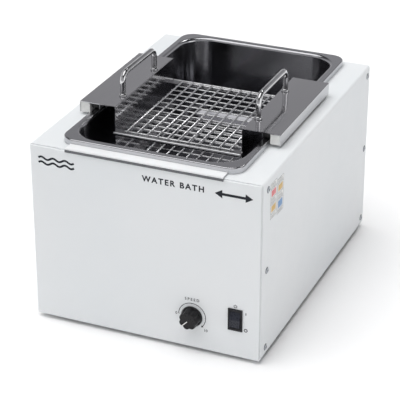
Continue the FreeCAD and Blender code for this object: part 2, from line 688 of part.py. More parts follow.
def cross_bar(name, sy, top, width, lip):
    """An angle across the two walls: a flat seat for the rack and a lip outside."""
    end = f"carriage_rest + {signed(sy, 'carriage_length / 2 + bar_reach')}"
    seat = block(name + "_seat", width, "bar_depth", "channel_gauge", "0",
                 f"{end} - {sy} * bar_depth / 2", f"{top} - channel_gauge")
    face = block(name + "_face", lip, "channel_gauge", "bar_height", "0",
                 f"{end} + {sy} * channel_gauge / 2", f"{top} - bar_height")
    return fuse(name, [seat, face])


LONG_WIRES = 11
CROSS_WIRES = 13


def wire_rack(name, floor, overhang):
    """A welded grid: cross wires below that rest on the seats, long wires on top of them."""
    long_axis = f"{floor} + cross_wire + wire / 2 - weld_lap"
    length = f"cross_pitch * {CROSS_WIRES - 1} + 2 * wire"
    wires = []
    for n in range(LONG_WIRES):
        x = f"wire_pitch * {n - LONG_WIRES // 2}"
        start = f"carriage_rest - ({length}) / 2"
        wires.append(cylinder(f"{name}_long_{n}", "wire / 2", length, x, start, long_axis, "Y"))
    for n in range(CROSS_WIRES):
        y = f"carriage_rest + cross_pitch * {n - CROSS_WIRES // 2}"
        span = f"wire_pitch * {LONG_WIRES - 1} + 2 * {overhang}"
        wires.append(cylinder(f"{name}_cross_{n}", "cross_wire / 2", span, f"-({span}) / 2", y,
                              f"{floor} + cross_wire / 2", "X"))
    return fuse(name, wires)


def handle(side, sign):
    """A bent rod handle with threaded ends that pass through the top plate."""
    x = signed(sign, "handle_middle")
    body = doc.addObject("PartDesign::Body", f"handle_{side}_body")
    path = body.newObject("Sketcher::SketchObject", f"handle_{side}_path")
    path.AttachmentSupport = [(origin_plane(body, "YZ_Plane"), "")]
    path.MapMode = "FlatFace"
    bind(path, "AttachmentOffset.Base.z", x)
    bind(path, "AttachmentOffset.Base.x", "carriage_rest + handle_shift")
    bind(path, "AttachmentOffset.Base.y", PLATE_TOP)
    a, b, r = 60.0, 30.0, 15.0
    v = FreeCAD.Vector
    path.addGeometry(Part.LineSegment(v(-a - r, 0, 0), v(-a - r, b, 0)))
    path.addGeometry(Part.ArcOfCircle(Part.Circle(v(-a, b, 0), v(0, 0, 1), r),
                                      math.radians(90), math.radians(180)))
    path.addGeometry(Part.LineSegment(v(-a, b + r, 0), v(a, b + r, 0)))
    path.addGeometry(Part.ArcOfCircle(Part.Circle(v(a, b, 0), v(0, 0, 1), r),
                                      math.radians(0), math.radians(90)))
    path.addGeometry(Part.LineSegment(v(a + r, b, 0), v(a + r, 0, 0)))
    path.addConstraint([
        Sketcher.Constraint("Tangent", 0, 2, 1, 2), Sketcher.Constraint("Tangent", 1, 1, 2, 1),
        Sketcher.Constraint("Tangent", 2, 2, 3, 2), Sketcher.Constraint("Tangent", 3, 1, 4, 1),
        Sketcher.Constraint("Vertical", 0), Sketcher.Constraint("Horizontal", 2),
        Sketcher.Constraint("Vertical", 4), Sketcher.Constraint("Equal", 1, 3),
        Sketcher.Constraint("Symmetric", 0, 1, 4, 2, -2),
        Sketcher.Constraint("PointOnObject", 0, 1, -1)])
    for label, kind, spots, start, formula in (
            ("bend", "Radius", (1,), r, "handle_bend"),
            ("span", "DistanceX", (0, 1, 4, 2), 2 * (a + r), "handle_span"),
            ("rise", "DistanceY", (0, 1, 2, 1), b + r, "handle_rise - handle_rod / 2")):
        index = path.addConstraint(Sketcher.Constraint(kind, *spots, start))
        path.renameConstraint(index, label)
        bind(path, f"Constraints.{label}", formula)
    ring = body.newObject("Sketcher::SketchObject", f"handle_{side}_ring")
    ring.AttachmentSupport = [(origin_plane(body, "XY_Plane"), "")]
    ring.MapMode = "FlatFace"
    bind(ring, "AttachmentOffset.Base.x", x)
    bind(ring, "AttachmentOffset.Base.y", "carriage_rest + handle_shift - handle_span / 2")
    bind(ring, "AttachmentOffset.Base.z", PLATE_TOP)
    ring.addGeometry(Part.Circle(v(0, 0, 0), v(0, 0, 1), 5.0))
    ring.addConstraint(Sketcher.Constraint("Coincident", 0, 3, -1, 1))
    index = ring.addConstraint(Sketcher.Constraint("Radius", 0, 5.0))
    ring.renameConstraint(index, "rod")
    bind(ring, "Constraints.rod", "handle_rod / 2")
    doc.recompute()
    rod = body.newObject("PartDesign::AdditivePipe", f"handle_{side}_pipe")
    rod.Profile = ring
    rod.Spine = path
    doc.recompute()
    studs = []
    for end, sy in ENDS:
        y = f"carriage_rest + handle_shift + {signed(sy, 'handle_span / 2')}"
        studs.append(cylinder(f"handle_stud_{end}_{side}", "stud_radius", "stud_reach + 2", x, y,
                              f"{PLATE_TOP} - stud_reach"))
    return fuse(f"handle_{side}", [body] + studs)


def handle_rings(name, radius, height, bore, level):
    """Four rings on the handle ends: collars above the plate or nuts below it."""
    rings = []
    for side, sign in SIDES:
        for end, sy in ENDS:
            y = f"carriage_rest + handle_shift + {signed(sy, 'handle_span / 2')}"
            x = signed(sign, "handle_middle")
            ring = cylinder(f"{name}_{end}_{side}", radius, height, x, y, level)
            hole = cylinder(f"{name}_bore_{end}_{side}", bore, "2 * past", x, y, f"{level} - past")
            rings.append(cut(f"{name}_cut_{end}_{side}", ring, [hole]))
    return group(f"{name}_set", rings)


AXLE_Z = f"({RIM_TOP} + joint_gap + roller_radius)"


def roller_y(sign):
    return f"carriage_rest + {signed(sign, 'carriage_length / 2 - roller_end')}"


def axle_block(name, ex, sy):
    """A white plastic block under the plate that holds a roller's axle."""
    x = signed(ex, "channel_outer - channel_gauge - block_width / 2 - joint_gap")
    body = block(f"axle_block_body_{name}", "block_width", "block_length",
                 f"{PLATE_UNDER} - {TOP} - block_foot", x,
                 f"carriage_rest + {signed(sy, 'carriage_length / 2 - block_length / 2 - 1')}",
                 f"{TOP} + block_foot")
    bore = cylinder(f"axle_block_bore_{name}", "axle_radius", "4 * past", f"{x} - 2 * past",
                    roller_y(sy), AXLE_Z, "X")
    return cut(f"axle_block_{name}", body, [bore])


def axle(name, ex, sy):
    inner = "roller_middle - roller_width / 2 - cheek - joint_gap"
    outer = "channel_outer - channel_gauge - joint_gap - 3"
    start = inner if ex > 0 else f"-({outer})"
    return cylinder(f"axle_{name}", "axle_radius", f"{outer} - ({inner})", start, roller_y(sy),
                    AXLE_Z, "X")


def cheek_plate(name, ex, sy):
    """The small tab inboard of a roller that holds the axle's other end."""
    x = signed(ex, "roller_middle - roller_width / 2 - cheek / 2 - joint_gap")
    tab = block(f"cheek_body_{name}", "cheek", "cheek_width",
                f"{PLATE_UNDER} - {AXLE_Z} + cheek_below", x, roller_y(sy),
                f"{AXLE_Z} - cheek_below")
    bore = cylinder(f"cheek_bore_{name}", "axle_radius", "past", f"{x} - past / 2", roller_y(sy),
                    AXLE_Z, "X")
    return cut(f"cheek_{name}", tab, [bore])


def roller(name, ex, sy):
    x = signed(ex, "roller_middle")
    wheel = cylinder(f"roller_body_{name}", "roller_radius", "roller_width",
                     f"{x} - roller_width / 2", roller_y(sy), AXLE_Z, "X")
    bore = cylinder(f"roller_bore_{name}", "axle_radius + joint_gap", "roller_width + 4",
                    f"{x} - roller_width / 2 - 2", roller_y(sy), AXLE_Z, "X")
    return cut(f"roller_{name}", wheel, [bore])


def drive_socket(side, sign):
    """A plastic block under the top plate with the blind hole that the drive pin enters."""
    x = signed(sign, "pin_middle")
    body = block(f"socket_body_{side}", "socket_width", "socket_length",
                 f"{PLATE_UNDER} - {TOP} - socket_foot", x, "carriage_rest",
                 f"{TOP} + socket_foot")
    bore = cylinder(f"socket_bore_{side}", "pin_radius + joint_gap", "pin_rise + 4", x,
                    "carriage_rest", f"{TOP} - socket_foot")
    return cut(f"socket_{side}", body, [bore])


for side, sign in SIDES:
    node(channel(side, sign), f"side_channel_{side}")
BAR_WIDTH = "2 * channel_inner"
LIP_WIDTH = "2 * channel_inner + 2 * channel_gauge"
for end, sign in ENDS:
    node(cross_bar(f"upper_bar_{end}", sign, RACK_TOP, BAR_WIDTH, LIP_WIDTH), f"upper_bar_{end}")
node(wire_rack("upper_rack_wires", RACK_TOP, "upper_overhang"), "upper_rack")
node(wire_rack("lower_rack_wires", LEDGE_TOP, "lower_overhang"), "lower_rack")
for side, sign in SIDES:
    node(handle(side, sign), f"handle_{side}")
node(handle_rings("collar", "collar_radius", "collar_height", "handle_rod / 2", PLATE_TOP),
     "handle_collars")
node(handle_rings("nut", "nut_radius", "nut_height", "stud_radius", f"{PLATE_UNDER} - nut_height"),
     "handle_nuts")
node(group("axle_block_set", [axle_block(*corner) for corner in CORNERS]), "axle_blocks")
node(group("axle_set", [axle(*corner) for corner in CORNERS]), "roller_axles")
node(group("cheek_set", [cheek_plate(*corner) for corner in CORNERS]), "axle_cheeks")
for name, ex, sy in CORNERS:
    node(roller(name, ex, sy), f"roller_{name}")
for side, sign in SIDES:
    node(drive_socket(side, sign), f"drive_socket_{side}")


# ---------------------------------------------------------------- controls and supply

FRONT = "-(case_depth / 2)"
KNOB_Z = "(foot_height + knob_level)"
SWITCH_Z = "(foot_height + switch_level)"


FLUTES = 18


def knob():
    """Skirt, fluted grip and a flat top, on the potentiometer's spindle."""
    back = f"{FRONT} - knob_gap"
    skirt = cylinder("knob_skirt", "knob_radius", "skirt_height", "knob_middle",
                     f"{back} - skirt_height", KNOB_Z, "Y")
    grip = cylinder("knob_grip", "knob_radius - skirt_step", "knob_height - skirt_height",
                    "knob_middle", f"{back} - knob_height", KNOB_Z, "Y")
    flutes = []
    for n in range(FLUTES):
        turn = math.tau * n / FLUTES
        ring = "(knob_radius - skirt_step - 0.4)"
        flutes.append(cylinder(f"knob_flute_{n}", "flute_radius", "knob_height - skirt_height - 1",
                               f"knob_middle + {ring} * {math.cos(turn):.6f}",
                               f"{back} - knob_height", f"{KNOB_Z} + {ring} * {math.sin(turn):.6f}",
                               "Y"))
    bore = cylinder("knob_socket", "spindle_radius", "knob_bore", "knob_middle",
                    f"{back} - knob_bore", KNOB_Z, "Y")
    return cut("knob_cut", fuse("knob_fuse", [skirt, grip]), flutes + [bore])


def potentiometer():
    """The speed control behind the panel: body, threaded bush and three tags."""
    can = cylinder("pot_can", "pot_radius", "pot_depth", "knob_middle", f"{FRONT} + gauge",
                   KNOB_Z, "Y")
    bush = cylinder("pot_neck", "pot_bush", "gauge + 2.5", "knob_middle", f"{FRONT} - 0.2",
                    KNOB_Z, "Y")
    tags = block("pot_tags", "16", "tag_gauge", "tag_step", "knob_middle", f"{FRONT} + 10",
                 f"{KNOB_Z} - pot_radius - tag_length")
    bore = cylinder("pot_bore", "spindle_radius + joint_gap", "8", "knob_middle",
                    f"{FRONT} - 2", KNOB_Z, "Y")
    return cut("pot_cut", fuse("pot_fuse", [can, bush, tags]), [bore])


def spindle():
    return cylinder("spindle_rod", "spindle_radius", "knob_bore + 3", "knob_middle",
                    f"{FRONT} - knob_gap - knob_bore", KNOB_Z, "Y")


def switch_body():
    """The switch's frame in the panel and its box behind, open at the front."""
    bezel = block("bezel_plate", "switch_width", "bezel_depth", "switch_height",
                  "switch_middle", f"{FRONT} - bezel_depth / 2", f"{SWITCH_Z} - switch_height / 2")
    box = block("switch_box", "rocker_width + 2 * box_wall", "box_depth",
                "rocker_height + 2 * box_wall", "switch_middle", f"{FRONT} + box_depth / 2",
                f"{SWITCH_Z} - rocker_height / 2 - box_wall")
    room = block("switch_room", "rocker_width", "box_depth - 4", "rocker_height",
                 "switch_middle", f"{FRONT} + (box_depth - 12) / 2", f"{SWITCH_Z} - rocker_height / 2")
    tags = [block(f"switch_tag_{n}", "tag_width", "tag_length", "tag_gauge", "switch_middle",
                  f"{FRONT} + box_depth + 3", f"{SWITCH_Z} + tag_step * {n - 1}") for n in range(3)]
    return cut("switch_cut", fuse("switch_fuse", [bezel, box] + tags), [room])


def about_x(degrees):
    return FreeCAD.Rotation(FreeCAD.Vector(1, 0, 0), degrees)


def rocker():
    """The tilting key: a drum segment about its pivot, with two faces that meet in a crest.

    It is built upright about the origin, then placed tilted, with its upper half pressed in.
    """
    width = "rocker_width - 2 * joint_gap"
    drum = cylinder("rocker_drum", "rocker_height / 2 - 2 * joint_gap", width,
                    f"-({width}) / 2", "0", "0", "X")
    faces = []
    behind = FreeCAD.Vector(0, -size("rocker_height"), -size("rocker_height"))
    for half, sign in (("upper", -1), ("lower", 1)):
        face = doc.addObject("Part::Box", f"rocker_{half}")
        bind(face, "Length", "rocker_width")
        bind(face, "Width", "rocker_height")
        bind(face, "Height", "2 * rocker_height")
        slope = about_x(sign * size("rocker_slope"))
        corner = slope.multVec(behind)
        face.Placement = FreeCAD.Placement(FreeCAD.Vector(), slope)
        place(face, "-rocker_width / 2", f"{corner.y} - rocker_crest", str(corner.z))
        faces.append(face)
    back = block("rocker_rear", "rocker_width", "rocker_height", "rocker_height", "0",
                 "rocker_back + rocker_height / 2", "-rocker_height / 2")
    key = cut("rocker_cut", drum, faces + [back])
    key.Placement = FreeCAD.Placement(FreeCAD.Vector(), about_x(-size("rocker_slope")))
    place(key, "switch_middle", f"{FRONT} + pivot_depth", SWITCH_Z)
    return key


def power_inlet():
    """The three-pin mains inlet: flange, recessed shroud and pins."""
    middle = "foot_height + inlet_level"
    flange = block("inlet_flange", "flange_width", "flange_depth", "flange_height",
                   "inlet_middle", "(case_depth + flange_depth) / 2",
                   f"{middle} - flange_height / 2")
    body = block("inlet_body", "inlet_width - 0.5", "24", "inlet_height - 0.6", "inlet_middle",
                 "case_depth / 2 - 9", f"{middle} - (inlet_height - 0.6) / 2")
    well = block("inlet_well", "24", "18", "16.5", "inlet_middle", "case_depth / 2 - 3",
                 f"{middle} - 8.3")
    pins = [block(f"inlet_pin_{n}", "2", "16", "6", f"inlet_middle + {7 * (n - 1)}",
                  "case_depth / 2 - 9", f"{middle} - 3 + {2 * (n % 2)}") for n in range(3)]
    return fuse("inlet", [cut("inlet_cut", fuse("inlet_fuse", [flange, body]), [well])] + pins)


def fuse_holder():
    middle = "foot_height + fuse_level"
    cap = cylinder("holder_cap", "fuse_cap", "5", "fuse_middle", "case_depth / 2", middle, "Y")
    barrel = cylinder("holder_barrel", "fuse_barrel", "30", "fuse_middle", "case_depth / 2 - 30",
                      middle, "Y")
    return fuse("fuse_holder_body", [cap, barrel])


def speed_board():
    """The motor's control board on edge behind the controls, with its larger parts."""
    board = block("board_sheet", "board_length", "board_depth", "board_gauge", "board_middle",
                  "board_back", "foot_height + board_rise")
    face = "foot_height + board_rise + board_gauge"
    left, right = "board_middle - 20", "board_middle + 24"
    parts = [block("board_sink", "30", "12", "26", left, "board_back + 20", face),
             cylinder("board_can", "8", "24", right, "board_back + 10", face),
             block("board_coil", "22", "18", "16", right, "board_back - 16", face),
             block("board_plug", "30", "8", "10", left, "board_back - 26", face)]
    return fuse("board_fuse", [board] + parts)


def board_posts():
    posts = []
    for name, ex, sy in CORNERS:
        posts.append(cylinder(f"board_post_{name}", "post_radius",
                              "board_rise - 2 * gauge - joint_gap",
                              f"board_middle + {signed(ex, 'post_across / 2')}",
                              f"board_back + {signed(sy, 'post_along / 2')}",
                              "foot_height + 2 * gauge + joint_gap"))
    return posts


node(knob(), "speed_knob")
node(potentiometer(), "potentiometer")
node(spindle(), "knob_spindle")
node(switch_body(), "switch_body")
node(rocker(), "rocker_key")
node(power_inlet(), "power_inlet")
node(fuse_holder(), "fuse_holder")
node(speed_board(), "speed_board")
node(group("board_post_set", board_posts()), "board_posts")


# ---------------------------------------------------------------- checks and files

doc.recompute()
for thing in doc.Objects:
    if {"Invalid", "Error"} & set(thing.State):
        raise SystemExit(f"{thing.Name} did not compute: {thing.State}")
for thing in NODES:
    if thing.Shape.isNull() or not thing.Shape.isValid():
        raise SystemExit(f"{thing.Label} has no valid shape")

os.makedirs("parts", exist_ok=True)
for thing in NODES:
    thing.Shape.exportStep(f"parts/{thing.Label}.step")
print(len(NODES), "nodes written")
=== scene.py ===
import math

import bmesh
import bpy
from mathutils import Matrix, Vector


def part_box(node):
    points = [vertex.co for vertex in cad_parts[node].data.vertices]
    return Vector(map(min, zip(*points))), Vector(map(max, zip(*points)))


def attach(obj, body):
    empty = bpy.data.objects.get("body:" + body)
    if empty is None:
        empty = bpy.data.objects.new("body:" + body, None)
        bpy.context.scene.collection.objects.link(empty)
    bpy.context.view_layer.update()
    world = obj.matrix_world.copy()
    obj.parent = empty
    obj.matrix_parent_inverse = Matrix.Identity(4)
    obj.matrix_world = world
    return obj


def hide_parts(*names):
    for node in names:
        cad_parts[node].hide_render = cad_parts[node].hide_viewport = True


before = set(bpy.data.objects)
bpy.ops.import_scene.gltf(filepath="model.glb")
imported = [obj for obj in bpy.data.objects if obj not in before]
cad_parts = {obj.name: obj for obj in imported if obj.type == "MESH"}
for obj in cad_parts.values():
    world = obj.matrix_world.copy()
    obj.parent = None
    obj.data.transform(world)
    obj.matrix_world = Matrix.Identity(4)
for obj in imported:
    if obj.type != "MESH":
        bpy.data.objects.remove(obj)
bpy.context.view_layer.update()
MM = 0.001


# ------------------------------------------------------------------ case
# Cover, front panel and rear panel: sheet steel, folded and sprayed with a white powder
# that bakes to a faint orange peel of slightly uneven shade and gloss.

def new_material(name, color, roughness, metallic=0.0, specular=0.5):
    """A material with one plain shader, for nodes to be added to."""
    material = bpy.data.materials.new(name)
    material.use_nodes = True
    shader = material.node_tree.nodes["Principled BSDF"]
    shader.inputs["Base Color"].default_value = (*color, 1)
    shader.inputs["Roughness"].default_value = roughness
    shader.inputs["Metallic"].default_value = metallic
    shader.inputs["Specular IOR Level"].default_value = specular
    return material


def noise_at(material, scale, stretch=(1, 1, 1), detail=4.0):
    """A noise texture in the piece's own coordinates, whose grain may be drawn out."""
    tree = material.node_tree
    place = tree.nodes.new("ShaderNodeTexCoord")
    turn = tree.nodes.new("ShaderNodeMapping")
    turn.inputs["Scale"].default_value = stretch
    noise = tree.nodes.new("ShaderNodeTexNoise")
    noise.inputs["Scale"].default_value = scale
    noise.inputs["Detail"].default_value = detail
    tree.links.new(place.outputs["Object"], turn.inputs["Vector"])
    tree.links.new(turn.outputs["Vector"], noise.inputs["Vector"])
    return noise


def ramped(material, source, low, high, start=0.35, end=0.65):
    """A colour ramp from low to high over the middle of a texture's values."""
    ramp = material.node_tree.nodes.new("ShaderNodeValToRGB")
    ramp.color_ramp.elements[0].position = start
    ramp.color_ramp.elements[0].color = (*low, 1)
    ramp.color_ramp.elements[1].position = end
    ramp.color_ramp.elements[1].color = (*high, 1)
    material.node_tree.links.new(source, ramp.inputs["Fac"])
    return ramp


def tinted(material, low, high, scale, stretch=(1, 1, 1)):
    """Lets the base colour wander between two shades."""
    noise = noise_at(material, scale, stretch)
    ramp = ramped(material, noise.outputs["Fac"], low, high)
    shader = material.node_tree.nodes["Principled BSDF"]
    material.node_tree.links.new(ramp.outputs["Color"], shader.inputs["Base Color"])


def mottled(material, low, high, scale, stretch=(1, 1, 1)):
    """Lets the roughness wander, as wiping and handling leave it."""
    noise = noise_at(material, scale, stretch)
    spread = material.node_tree.nodes.new("ShaderNodeMapRange")
    spread.inputs["From Min"].default_value = 0.3
    spread.inputs["From Max"].default_value = 0.7
    spread.inputs["To Min"].default_value = low
    spread.inputs["To Max"].default_value = high
    shader = material.node_tree.nodes["Principled BSDF"]
    material.node_tree.links.new(noise.outputs["Fac"], spread.inputs["Value"])
    material.node_tree.links.new(spread.outputs["Result"], shader.inputs["Roughness"])


def grained(material, scale, depth, stretch=(1, 1, 1), detail=3.0):
    """Raises a fine relief; depth is in metres."""
    noise = noise_at(material, scale, stretch, detail)
    bump = material.node_tree.nodes.new("ShaderNodeBump")
    bump.inputs["Distance"].default_value = depth
    shader = material.node_tree.nodes["Principled BSDF"]
    material.node_tree.links.new(noise.outputs["Fac"], bump.inputs["Height"])
    material.node_tree.links.new(bump.outputs["Normal"], shader.inputs["Normal"])


def finish(material, *nodes):
    """Gives CAD nodes their material."""
    for name in nodes:
        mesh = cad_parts[name].data
        mesh.materials.clear()
        mesh.materials.append(material)


powder_coat = new_material("powder_coat", (0.75, 0.77, 0.785), 0.42)
tinted(powder_coat, (0.735, 0.76, 0.775), (0.765, 0.78, 0.79), 3.5)
mottled(powder_coat, 0.36, 0.48, 40)
grained(powder_coat, 700, 0.00006, detail=2.0)
finish(powder_coat, "wrap_cover", "front_panel", "rear_panel")

cover_low, cover_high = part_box("wrap_cover")
panel_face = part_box("front_panel")[0].y


# ------------------------------------------------------------------ side screws
# Six pan-head cross-recess screws a side, nickel-plated steel, that hold the
# cover to the folds of the two panels. Each is a turned head; its recess is not cut but
# painted, a thin black cross of painted shade standing on the head, and a thin black ring
# under the head is painted shadow round its edge.

SHARP_EDGE = math.radians(35)


def add_piece(name, parts, material, body, replaces=()):
    """Joins (points, faces) parts into one smooth-shaded piece that rides on a body."""
    points, faces = [], []
    for part_points, part_faces in parts:
        start = len(points)
        points += [tuple(p) for p in part_points]
        faces += [tuple(start + n for n in face) for face in part_faces]
    mesh = bpy.data.meshes.new(name)
    mesh.from_pydata(points, [], faces)
    shell = bmesh.new()
    shell.from_mesh(mesh)
    bmesh.ops.recalc_face_normals(shell, faces=shell.faces)
    shell.to_mesh(mesh)
    shell.free()
    mesh.polygons.foreach_set("use_smooth", [True] * len(mesh.polygons))
    mesh.set_sharp_from_angle(angle=SHARP_EDGE)
    mesh.materials.append(material)
    piece = bpy.data.objects.new(name, mesh)
    bpy.context.scene.collection.objects.link(piece)
    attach(piece, body)
    if replaces:
        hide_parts(*replaces)
    return piece


def turned(profile, sides=32, shape=None):
    """A closed form turned about +Z from (radius, height) steps; shape(angle) scales the radius."""
    points, faces = [], []
    for radius, height in profile:
        for n in range(sides):
            angle = math.tau * n / sides
            reach = radius * (shape(angle, height) if shape else 1)
            points.append(Vector((reach * math.cos(angle), reach * math.sin(angle), height)))
    for ring in range(len(profile) - 1):
        for n in range(sides):
            after = (n + 1) % sides
            low, high = ring * sides, (ring + 1) * sides
            faces.append((low + n, low + after, high + after, high + n))
    faces.append(tuple(reversed(range(sides))))
    faces.append(tuple(range((len(profile) - 1) * sides, len(profile) * sides)))
    return points, faces


def moved(part, matrix):
    """A part carried to its place."""
    return [matrix @ Vector(p) for p in part[0]], part[1]


def towards(spot, direction):
    """The placement that turns +Z to a direction and sets the origin on a spot."""
    return Matrix.Translation(spot) @ Vector((0, 0, 1)).rotation_difference(
        Vector(direction)).to_matrix().to_4x4()


def slab(low, high, edge=0.0):
    """A block between two corners with its edges rounded off."""
    block = bmesh.new()
    bmesh.ops.create_cube(block, size=1)
    size = Vector(high) - Vector(low)
    middle = (Vector(high) + Vector(low)) / 2
    bmesh.ops.transform(block, matrix=Matrix.Translation(middle) @ Matrix.Diagonal((*size, 1)),
                        verts=block.verts)
    if edge:
        bmesh.ops.bevel(block, geom=block.edges[:], offset=edge, segments=3, profile=0.5,
                        affect="EDGES", clamp_overlap=True)
    block.verts.index_update()
    part = [v.co.copy() for v in block.verts], [[v.index for v in f.verts] for f in block.faces]
    block.free()
    return part


screw_steel = new_material("screw_steel", (0.42, 0.44, 0.47), 0.28, metallic=1.0)
tinted(screw_steel, (0.30, 0.32, 0.35), (0.52, 0.54, 0.57), 900)
mottled(screw_steel, 0.2, 0.42, 1500)
# Black for the painted shade in the cross recesses and the painted shadow ring under each head.
screw_shade_black = new_material("screw_shade_black", (0.012, 0.012, 0.014), 0.7)
grained(screw_shade_black, 2500, 0.00003)

HEAD = 5.2 * MM
HEAD_DOME = [(HEAD, 0), (HEAD, 0.5 * MM), (HEAD * 0.95, 1.1 * MM), (HEAD * 0.8, 1.6 * MM),
             (HEAD * 0.55, 1.95 * MM), (HEAD * 0.3, 2.06 * MM), (HEAD * 0.05, 2.1 * MM)]
# A thin black ring just beyond each head's edge: painted shadow round the head.
SHADOW_RING = [(HEAD, 0), (HEAD * 1.14, 0.02 * MM), (HEAD * 1.16, 0.2 * MM), (HEAD * 1.1, 0.35 * MM),
        (HEAD * 0.9, 0.4 * MM)]
SCREW_LEVELS = (23 * MM, 169 * MM, 316 * MM)
SCREW_DEPTHS = (-251 * MM, 261.5 * MM)
RECESS_REACH, RECESS_SLOT = 2.3 * MM, 0.5 * MM
RECESS_FLOOR, RECESS_TOP = 1.9 * MM, 2.19 * MM

heads, shadow_rings, recess_shades = [], [], []
for side, wall in ((-1, cover_low.x), (1, cover_high.x)):
    for depth in SCREW_DEPTHS:
        for row, level in enumerate(SCREW_LEVELS):
            at = towards((wall, depth, level), (side, 0, 0))
            heads.append(moved(turned(HEAD_DOME), at))
            shadow_rings.append(moved(turned(SHADOW_RING), at))
            twist = at @ Matrix.Rotation(0.5 + row * 1.1 + depth * 9, 4, "Z")
            for across, along in ((RECESS_SLOT, RECESS_REACH), (RECESS_REACH, RECESS_SLOT)):
                arm = slab((-across, -along, RECESS_FLOOR), (across, along, RECESS_TOP), 0.1 * MM)
                recess_shades.append(moved(arm, twist))
add_piece("side_screw_heads", heads, screw_steel, "case", ["case_screws"])
# Painted shade: thin black crosses stand on the heads in place of cut recesses.
add_piece("side_screw_recess_shades", recess_shades, screw_shade_black, "case")
add_piece("side_screw_shadow_rings", shadow_rings, screw_shade_black, "case")


# ------------------------------------------------------------------ feet and base
# Four moulded rubber feet, each with a screw up through its middle, under a base plate
# folded from zinc-plated steel. The drive's brackets and arms have the same plating.

foot_rubber = new_material("foot_rubber", (0.035, 0.035, 0.036), 0.72)
tinted(foot_rubber, (0.028, 0.028, 0.03), (0.05, 0.05, 0.05), 120)
grained(foot_rubber, 1800, 0.00012)
finish(foot_rubber, "foot_front_left", "foot_front_right", "foot_rear_left", "foot_rear_right")

zinc_plate = new_material("zinc_plate", (0.55, 0.57, 0.58), 0.34, metallic=1.0)
tinted(zinc_plate, (0.48, 0.50, 0.52), (0.62, 0.63, 0.62), 60)
mottled(zinc_plate, 0.26, 0.46, 90)
grained(zinc_plate, 900, 0.00003, stretch=(1, 0.05, 1))
finish(zinc_plate, "base_plate", "foot_screws", "drive_bridge", "drive_beam", "drive_arm_left",
       "drive_arm_right", "connecting_rod", "crank_disc", "handle_nuts", "axle_cheeks",
       "rod_blocks")


# ------------------------------------------------------------------ printed marks
# Screen-printed marks on the front panel in blue-black ink: a wave sign, the kind
# of apparatus in plain capitals, a to-and-fro arrow, the dial and the switch's signs.

INK_PROUD = 0.12 * MM
INK_BURIED = 0.1 * MM

ink = new_material("ink", (0.006, 0.009, 0.015), 0.5, specular=0.3)
tinted(ink, (0.004, 0.006, 0.011), (0.009, 0.012, 0.019), 400)
mottled(ink, 0.42, 0.6, 600)


def inked(outline):
    """A flat printed shape on the front panel from its outline in x and z."""
    count = len(outline)
    points = [(x, panel_face - INK_PROUD, z) for x, z in outline]
    points += [(x, panel_face + INK_BURIED, z) for x, z in outline]
    faces = [tuple(range(count)), tuple(reversed(range(count, 2 * count)))]
    faces += [(n, n + count, (n + 1) % count + count, (n + 1) % count) for n in range(count)]
    return points, faces


def ribbon(path, width):
    """The outline of a printed line of even width along a path in x and z."""
    left, right = [], []
    for n, here in enumerate(path):
        before, after = path[max(n - 1, 0)], path[min(n + 1, len(path) - 1)]
        run = Vector((after[0] - before[0], after[1] - before[1])).normalized()
        shift = Vector((-run.y, run.x)) * width / 2
        left.append((here[0] + shift.x, here[1] + shift.y))
        right.append((here[0] - shift.x, here[1] - shift.y))
    return left + right[::-1]


def arc(x, z, radius, start, end, steps=40):
    """Points along a circle; angles in degrees clockwise from twelve o'clock."""
    turns = [math.radians(start + (end - start) * n / steps) for n in range(steps + 1)]
    return [(x + radius * math.sin(t), z + radius * math.cos(t)) for t in turns]


def lettering(name, words, height, x, z, align="LEFT", spread=1.0, weight=0.1 * MM):
    """Plain capitals or figures printed on the front panel."""
    text = bpy.data.curves.new(name, "FONT")
    text.body = words
    text.size = height / 0.7
    text.align_x = align
    text.space_character = spread
    text.offset = weight
    text.extrude = INK_PROUD
    text.resolution_u = 4
    holder = bpy.data.objects.new(name + "_curve", text)
    bpy.context.scene.collection.objects.link(holder)
    bpy.context.view_layer.update()
    mesh = bpy.data.meshes.new_from_object(holder)
    bpy.data.objects.remove(holder)
    mesh.transform(Matrix.Translation((x, panel_face, z)) @ Matrix.Rotation(math.pi / 2, 4, "X"))
    mesh.materials.clear()
    mesh.materials.append(ink)
    mesh.name = name
    piece = bpy.data.objects.new(name, mesh)
    bpy.context.scene.collection.objects.link(piece)
    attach(piece, "case")
    return piece


MARK_LEVEL = 306 * MM
WAVE_LEFT, WAVE_WIDTH, WAVE_SWING = -192 * MM, 66 * MM, 2.2 * MM
WAVE_OFFSET, WAVE_LINE = 4.4 * MM, 3.6 * MM
WAVE_STEPS, STEPS_A_WAVE = 72, 24
waves = []
for row in (-1, 1):
    path = [(WAVE_LEFT + WAVE_WIDTH * n / WAVE_STEPS,
             MARK_LEVEL + row * WAVE_OFFSET + WAVE_SWING * math.sin(math.tau * n / STEPS_A_WAVE))
            for n in range(WAVE_STEPS + 1)]
    waves.append(inked(ribbon(path, WAVE_LINE)))
add_piece("wave_sign", waves, ink, "case")
KIND_HEIGHT, KIND_LEFT, KIND_FOOT = 10 * MM, -2 * MM, 303 * MM
lettering("kind_of_apparatus", "WATER BATH", KIND_HEIGHT, KIND_LEFT, KIND_FOOT, spread=1.32,
          weight=0.45 * MM)

ARROW_LOW, ARROW_HIGH, ARROW_HEAD = 126 * MM, 192 * MM, 13 * MM
ARROW_BARB, ARROW_LINE = 7.5 * MM, 4.6 * MM
shaft = [(ARROW_LOW + ARROW_HEAD, MARK_LEVEL), (ARROW_HIGH - ARROW_HEAD, MARK_LEVEL)]
arrow = [inked(ribbon(shaft, ARROW_LINE))]
for tip, back in ((ARROW_LOW, ARROW_LOW + ARROW_HEAD), (ARROW_HIGH, ARROW_HIGH - ARROW_HEAD)):
    arrow.append(inked([(tip, MARK_LEVEL), (back, MARK_LEVEL + ARROW_BARB),
                        (back, MARK_LEVEL - ARROW_BARB)]))
add_piece("shake_arrow", arrow, ink, "case")

